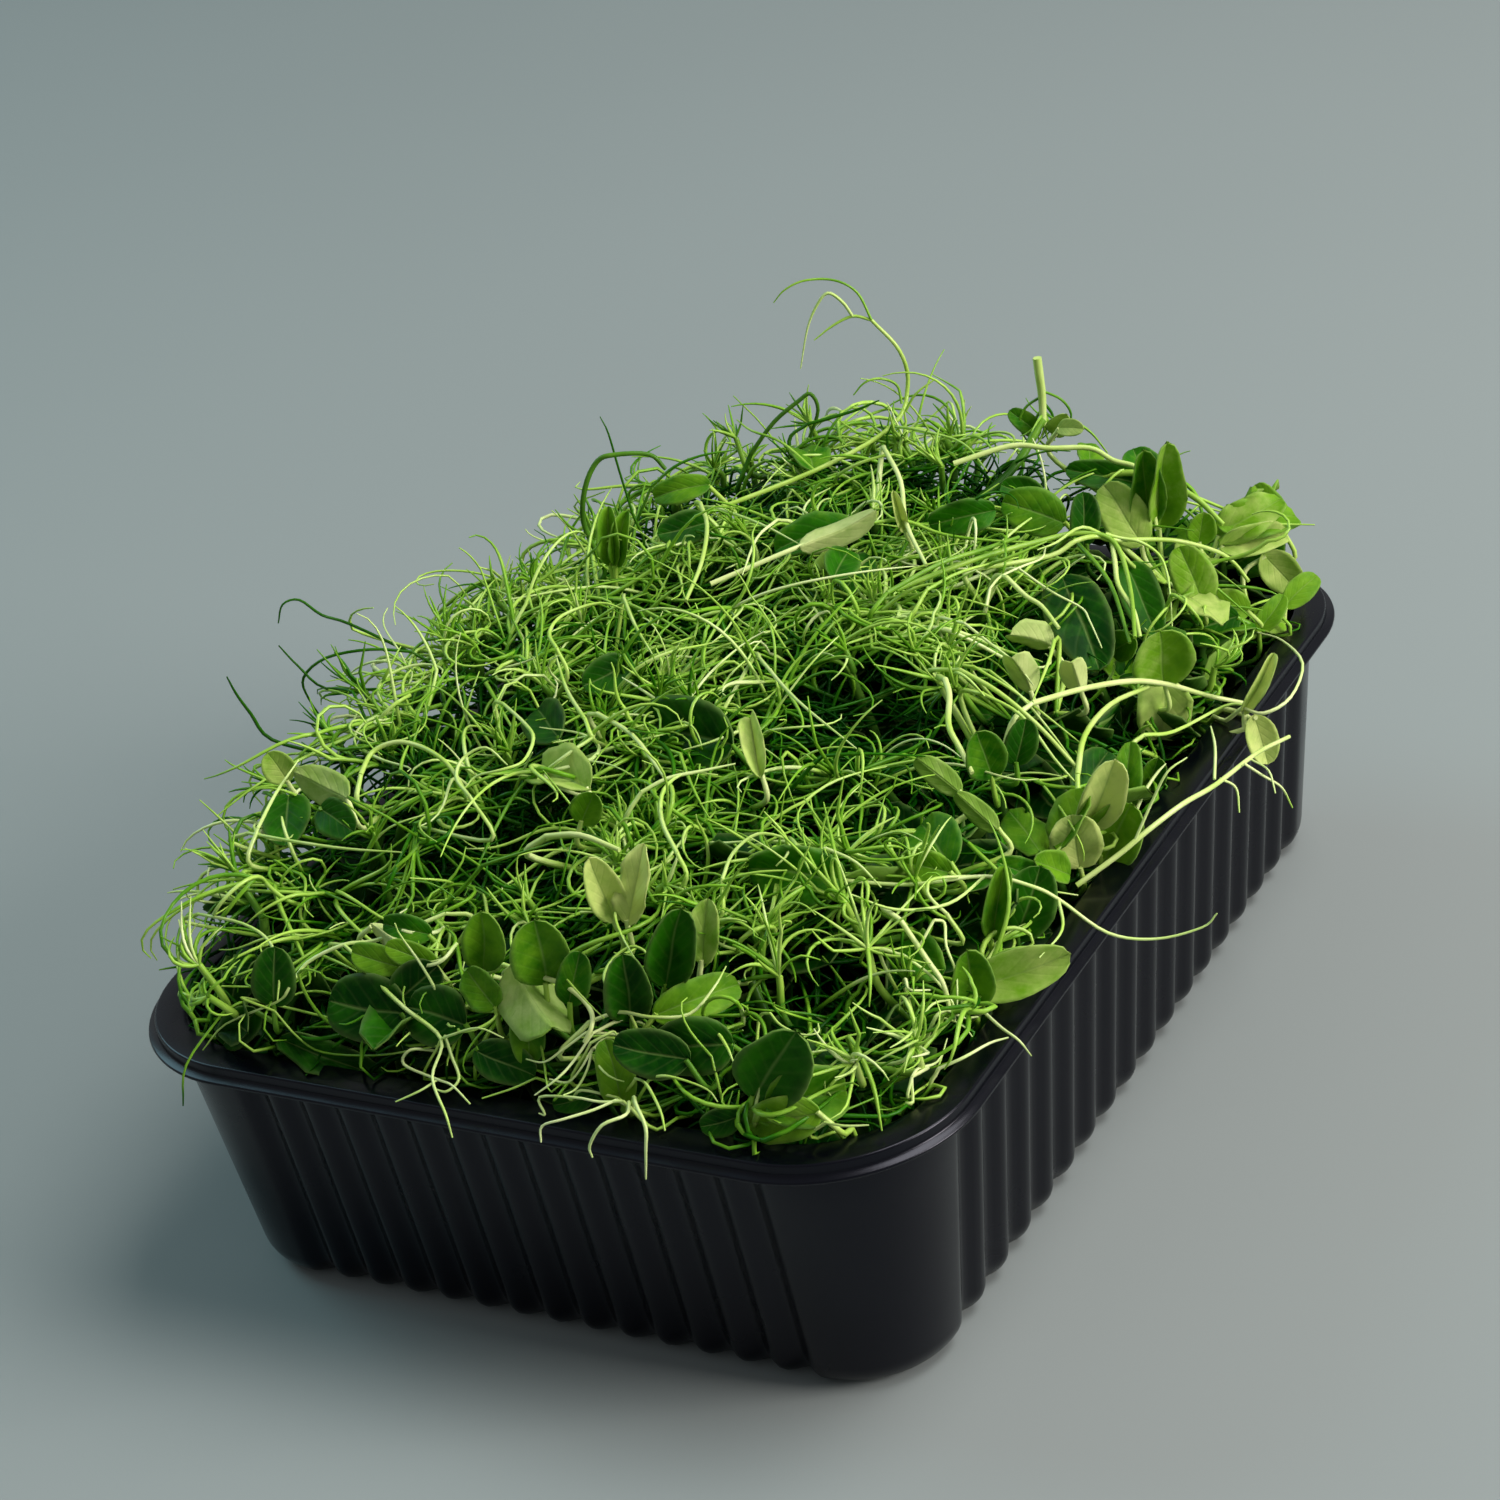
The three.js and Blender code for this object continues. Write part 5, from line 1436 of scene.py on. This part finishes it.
def grow_stem(sketch, middle, half):
    """One stem from the tray's floor to just under the heap's surface."""
    rng = sketch.rng
    foot = middle[:2] + rng.uniform(-0.5, 0.5, 2) * half[:2]
    head = middle[:2] + rng.uniform(-0.85, 0.85, 2) * half[:2]
    top = heap_height(*head) - rng.uniform(3, 10)
    sway = rng.normal(0, 2.5, (2, 2))
    lower, upper = foot * 0.7 + head * 0.3 + sway[0], foot * 0.3 + head * 0.7 + sway[1]
    path = smooth_path([(*foot, 2.0), (*lower, top * 0.4), (*upper, top * 0.75), (*head, top)], 5)
    return sketch.line(path, 1.15, 0.75, 0.25 + 0.2 * rng.random(), 1.0)


def sketch_standing(node, seed):
    """Four stems with their sprays and leaves, then what was placed near this shoot."""
    sketch = Sketch(seed)
    rng = sketch.rng
    low, high = [np.array(corner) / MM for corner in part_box(node)]
    middle, half = (low + high) / 2, (high - low) / 2
    stems = []
    for _ in range(STEMS_PER_SHOOT):
        stem = grow_stem(sketch, middle, half)
        stems.append(stem)
        for joint_share in np.linspace(FIRST_JOINT, 1.0, JOINTS_PER_STEM):
            joint = stem[int(round(joint_share * (len(stem) - 1)))]
            azimuth = rng.uniform(0, 2 * math.pi)
            heading = [math.cos(azimuth), math.sin(azimuth), rng.uniform(0.0, 0.8)]
            leafy = leafiness(joint[0], joint[1])
            count = int(round(TENDRILS_PER_SPRAY * (1.1 - leafy)))
            float_height = rng.uniform(-2.5, 2) if rng.random() < 0.5 else rng.uniform(-14, -2.5)
            if count > 0:
                reach = rng.uniform(18, 29) * (1 - 0.35 * leafy)
                spray(sketch, joint, heading, count, reach, float_height - 4 * leafy)
            if rng.random() < 0.9 * leafy - 0.2:
                tone = leaf_tone_with_front_shade(*joint[:2]) + rng.uniform(-0.2, 0.2)
                leaf_pair(sketch, joint, math.degrees(azimuth), rng.uniform(8, 13), tone)
        for share in HIDDEN_LEAVES:
            joint = stem[int(share * len(stem))]
            # Leaves deep in the heap get almost the darkest tone: painted shade.
            leaf_pair(sketch, joint, rng.uniform(0, 360), rng.uniform(11, 16), 0.05, ROUGH)
        if rng.random() < 0.6 - leafiness(*stem[-1][:2]):
            root = [stem[-1][0], stem[-1][1], heap_height(stem[-1][0], stem[-1][1]) - 1]
            lean = UP + rng.normal(0, 0.5, 3)
            tuft(sketch, root, lean, 10, rng.uniform(6, 10), rng.uniform(0.4, 0.7))
            between = (stem[-1] + root) / 2 + rng.normal(0, 1, 3)
            sketch.line(smooth_path([stem[-1], between, root], 3), 0.6, 0.5, 0.5, STEM_STALK)
    grow_placed(sketch, np.vstack(stems), node)
    return sketch


# %% Grow them all
STANDING_SEED = 100
triangles = 0
for number, node in enumerate(STANDING):
    triangles += grow(node, sketch_standing(node, STANDING_SEED + number))
print("triangles of the standing shoots:", triangles)

# %% [markdown]
# ## The loose shoots
# Eight shoots lie on top: cut last, they slid over the others. Two hang over the right rim, one
# over the front rim, one arches high at the back and one shows its pale cut end. They are drawn
# like the placed stems: a stem, side lines, leaves and tufts, each a short list in mm. Many of
# these points, too, were worked out along lines of sight from the camera. Many of these points,
# too, come from that other program.

# %% The loose shoots' drawings
LOOSE = {
    "pea_shoot_arching_tendril": {
        "lines": [
            (0.42, 0.75, [(-34, 42, 70), (-18, 60, 72), (-9, 73, 75), (-8, 79, 80), (-8, 78, 87),
                          (-12, 77, 93)]),
            (0.3, 0.5, [(-12, 77, 93), (-14, 77, 98), (-17, 75, 101), (-21, 72, 102), (-24, 70, 101),
                        (-26, 69, 99)]),
            (0.3, 0.7, [(-12, 77, 93), (-15, 76, 94), (-18, 74, 93), (-21, 72, 91)]),
            (0.3, 0.9, [(-15, 76, 94), (-16, 75, 97), (-18, 74, 99), (-20, 73, 97), (-22, 72, 93),
                        (-24, 71, 86)]),
            (0.25, 0.6, [(-8, 76, 78), (-9, 77, 81), (-11, 75, 83), (-13, 73, 83), (-15, 72, 81)]),
            (0.25, 0.7, [(-7, 75, 77), (-5, 76, 80), (-2, 78, 82)]),
            (0.34, 0.6, [(-18, 60, 72), (-26, 64, 75), (-33, 66, 76), (-38, 70, 76)]),
            (0.3, 0.7, [(-9, 73, 75), (-2, 70, 76), (8, 66, 76), (15, 60, 74)]),
        ],
        "leaves": [((-18, 60, 72), (-26, 72, 75), 20, 7, ARCHED, 0.4)], "tufts": [],
    },
    "pea_shoot_cut_end_up": {
        "lines": [
            (0.81, 0.85, [(17, 80, 86), (17, 80, 83), (17, 80, 79), (17, 79, 74)]),
            (0.76, 0.35, [(17, 79, 75), (14, 70, 69), (8, 56, 66), (0, 40, 64)]),
            (0.3, 0.6, [(18, 79, 71), (20, 80, 73), (22, 82, 73), (24, 83, 71), (26, 84, 67)]),
            (0.25, 0.4, [(17, 80, 80), (20, 81, 78), (21, 82, 75), (20, 82, 72)]),
            (0.25, 0.4, [(17, 80, 79), (14, 79, 77), (13, 78, 74), (14, 79, 70)]),
            (0.25, 0.3, [(17, 80, 78), (18, 81, 75), (17, 82, 72), (15, 82, 70)]),
            (0.25, 0.5, [(17, 80, 77), (15, 80, 74), (16, 79, 71), (19, 79, 69)]),
        ],
        "leaves": [
            ((18, 80, 72), (22, 79, 77), 0, 4, CUPPED, 0.8),
            ((16, 79, 72), (12, 78, 77), 0, 3.5, FLAT, 0.4),
            ((0, 40, 72), (-12, 32, 74), 30, 7, ARCHED, 0.3),
        ],
        "tufts": [((17, 80, 76), (0, 0, -1), 8, 8, 0.5)],
    },
    "pea_shoot_pale_stem": {
        "lines": [
            (0.42, 1.0, [(-14, 15, 73), (-9, 20, 74), (-4, 25, 75), (0, 31, 75), (4, 36, 75)]),
            (0.34, 0.6, [(4, 36, 75), (9, 40, 74), (16, 40, 72), (25, 41, 71), (34, 44, 70)]),
        ],
        "leaves": [
            ((-3, 26, 75), (5, 37, 76), 172, 4.5, FOLDED, 0.9), ((6, 20, 73), (4, 31, 74), 0, 6, FLAT, 0.2),
        ],
        "tufts": [],
    },
    "pea_shoot_arching_stem": {
        "lines": [
            (0.46, 0.55, [(17, 20, 72), (25, 32, 72), (32, 42, 71), (37, 48, 70), (42, 49, 68),
                          (47, 42, 64), (52, 31, 61)]),
            (0.47, 0.88, [(10, 58, 76), (18, 64, 77), (24, 66, 76), (30, 69, 75), (34, 69, 73),
                          (38, 69, 72), (41, 67, 70),
                          (43, 63, 68), (45, 59, 66)]),
            (0.3, 0.8, [(40, 50, 69), (42, 51, 68), (45, 52, 67), (48, 52, 65), (50, 50, 63), (52, 46, 61),
                        (54, 41, 58)]),
        ],
        "leaves": [
            ((22, 48, 73), (14, 40, 74), 0, 6, WAVY, 0.25), ((51, 33, 60), (46, 36, 56), 0, 5, CUPPED, 0.4),
        ],
        "tufts": [],
    },
    "pea_shoot_back_leaves": {
        "lines": [
            (0.59, 0.6, [(26, 70, 68), (36, 73, 69), (46, 72, 66), (52, 70, 62)]),
            (0.3, 0.7, [(46, 72, 66), (56, 76, 60), (64, 80, 58)]),
        ],
        "leaves": [
            ((28, 72, 69), (26, 79, 73), 20, 5, ARCHED, 0.45),
            ((38, 74, 67), (33, 80, 69), 0, 6, CUPPED, 0.3),
            ((50, 72, 61), (62, 80, 60), 0, 7, WAVY, 0.5),
        ],
        "tufts": [],
    },
    "pea_shoot_over_right_rim": {
        "lines": [
            (0.42, 0.9, [(61, -18, 46), (66, -13, 49), (69, -9, 51), (72, -2, 52), (74, 6, 51),
                         (76, 18, 50), (77, 29, 47)]),
            (0.22, 0.95, [(76, 13, 51), (78, 15, 48), (80, 17, 45), (81, 18, 41)]),
            (0.22, 0.9, [(74, 8, 51), (76, 9, 49), (77, 7, 46)]),
            (0.3, 0.9, [(69, -13, 52), (71, -10, 57), (73, -8, 61), (75, -5, 62)]),
            (0.22, 0.9, [(76, 16, 50), (79, 15, 49), (81, 12, 47)]),
            (0.25, 0.95, [(74, 6, 52), (72, 12, 54), (69, 18, 54)]),
        ],
        "leaves": [((61, -19, 48), (57, -25, 54), 20, 5, CUPPED, 0.5)], "tufts": [],
    },
    "pea_shoot_right_tendril": {
        "lines": [
            (0.34, 0.9, [(40, -48, 62), (48, -44, 60), (57, -38, 59), (63, -36, 57), (66, -34, 54),
                         (72, -32, 48), (78, -29, 46), (84, -26, 47), (86, -25, 49)]),
            (0.3, 0.8, [(57, -38, 59), (55, -46, 59), (50, -52, 61), (44, -54, 64)]),
            (0.25, 0.85, [(66, -34, 54), (69, -40, 53), (68, -46, 52)]),
        ],
        "leaves": [((40, -48, 62), (30, -56, 67), 0, 9, WAVY, 0.3)], "tufts": [],
    },
    "pea_shoot_front_tendril": {
        "lines": [
            (0.36, 0.85, [(-9, -75, 61), (-10, -79, 60), (-16, -80, 59), (-19, -82, 58), (-13, -85, 56),
                          (-6, -87, 53),
                          (-5, -92, 50), (0, -97, 48), (1, -98, 45)]),
            (0.24, 0.85, [(-6, -86, 53), (-4, -88, 51), (-2, -90, 49), (-3, -92, 48), (-5, -92, 48)]),
            (0.24, 0.95, [(-8, -86, 50), (-11, -88, 51), (-12, -89, 49), (-5, -91, 49), (-1, -93, 50),
                          (3, -95, 49)]),
            (0.22, 0.85, [(-6, -90, 48), (-7, -93, 48), (-10, -95, 47)]),
        ],
        "leaves": [((-16, -80, 59), (-22, -83, 63), 10, 4.5, ARCHED, 0.5)], "tufts": [],
    },
}


def sketch_loose(drawing, seed):
    """One loose shoot, just as it is drawn."""
    sketch = Sketch(seed)
    for row in drawing["lines"]:
        draw_placed(sketch, row, 5, clear=False)
    for row in drawing["leaves"]:
        place_leaf(sketch, row)
    for root, heading, count, length, tone in drawing["tufts"]:
        tuft(sketch, root, heading, count, length, tone)
    return sketch


# %% Grow the loose shoots
LOOSE_SEED = 900
for number, (node, drawing) in enumerate(LOOSE.items()):
    grow(node, sketch_loose(drawing, LOOSE_SEED + number))

# %% Remove the blade models and finish
for blade in list(blades.objects):
    bpy.data.objects.remove(blade)
bpy.data.collections.remove(blades)
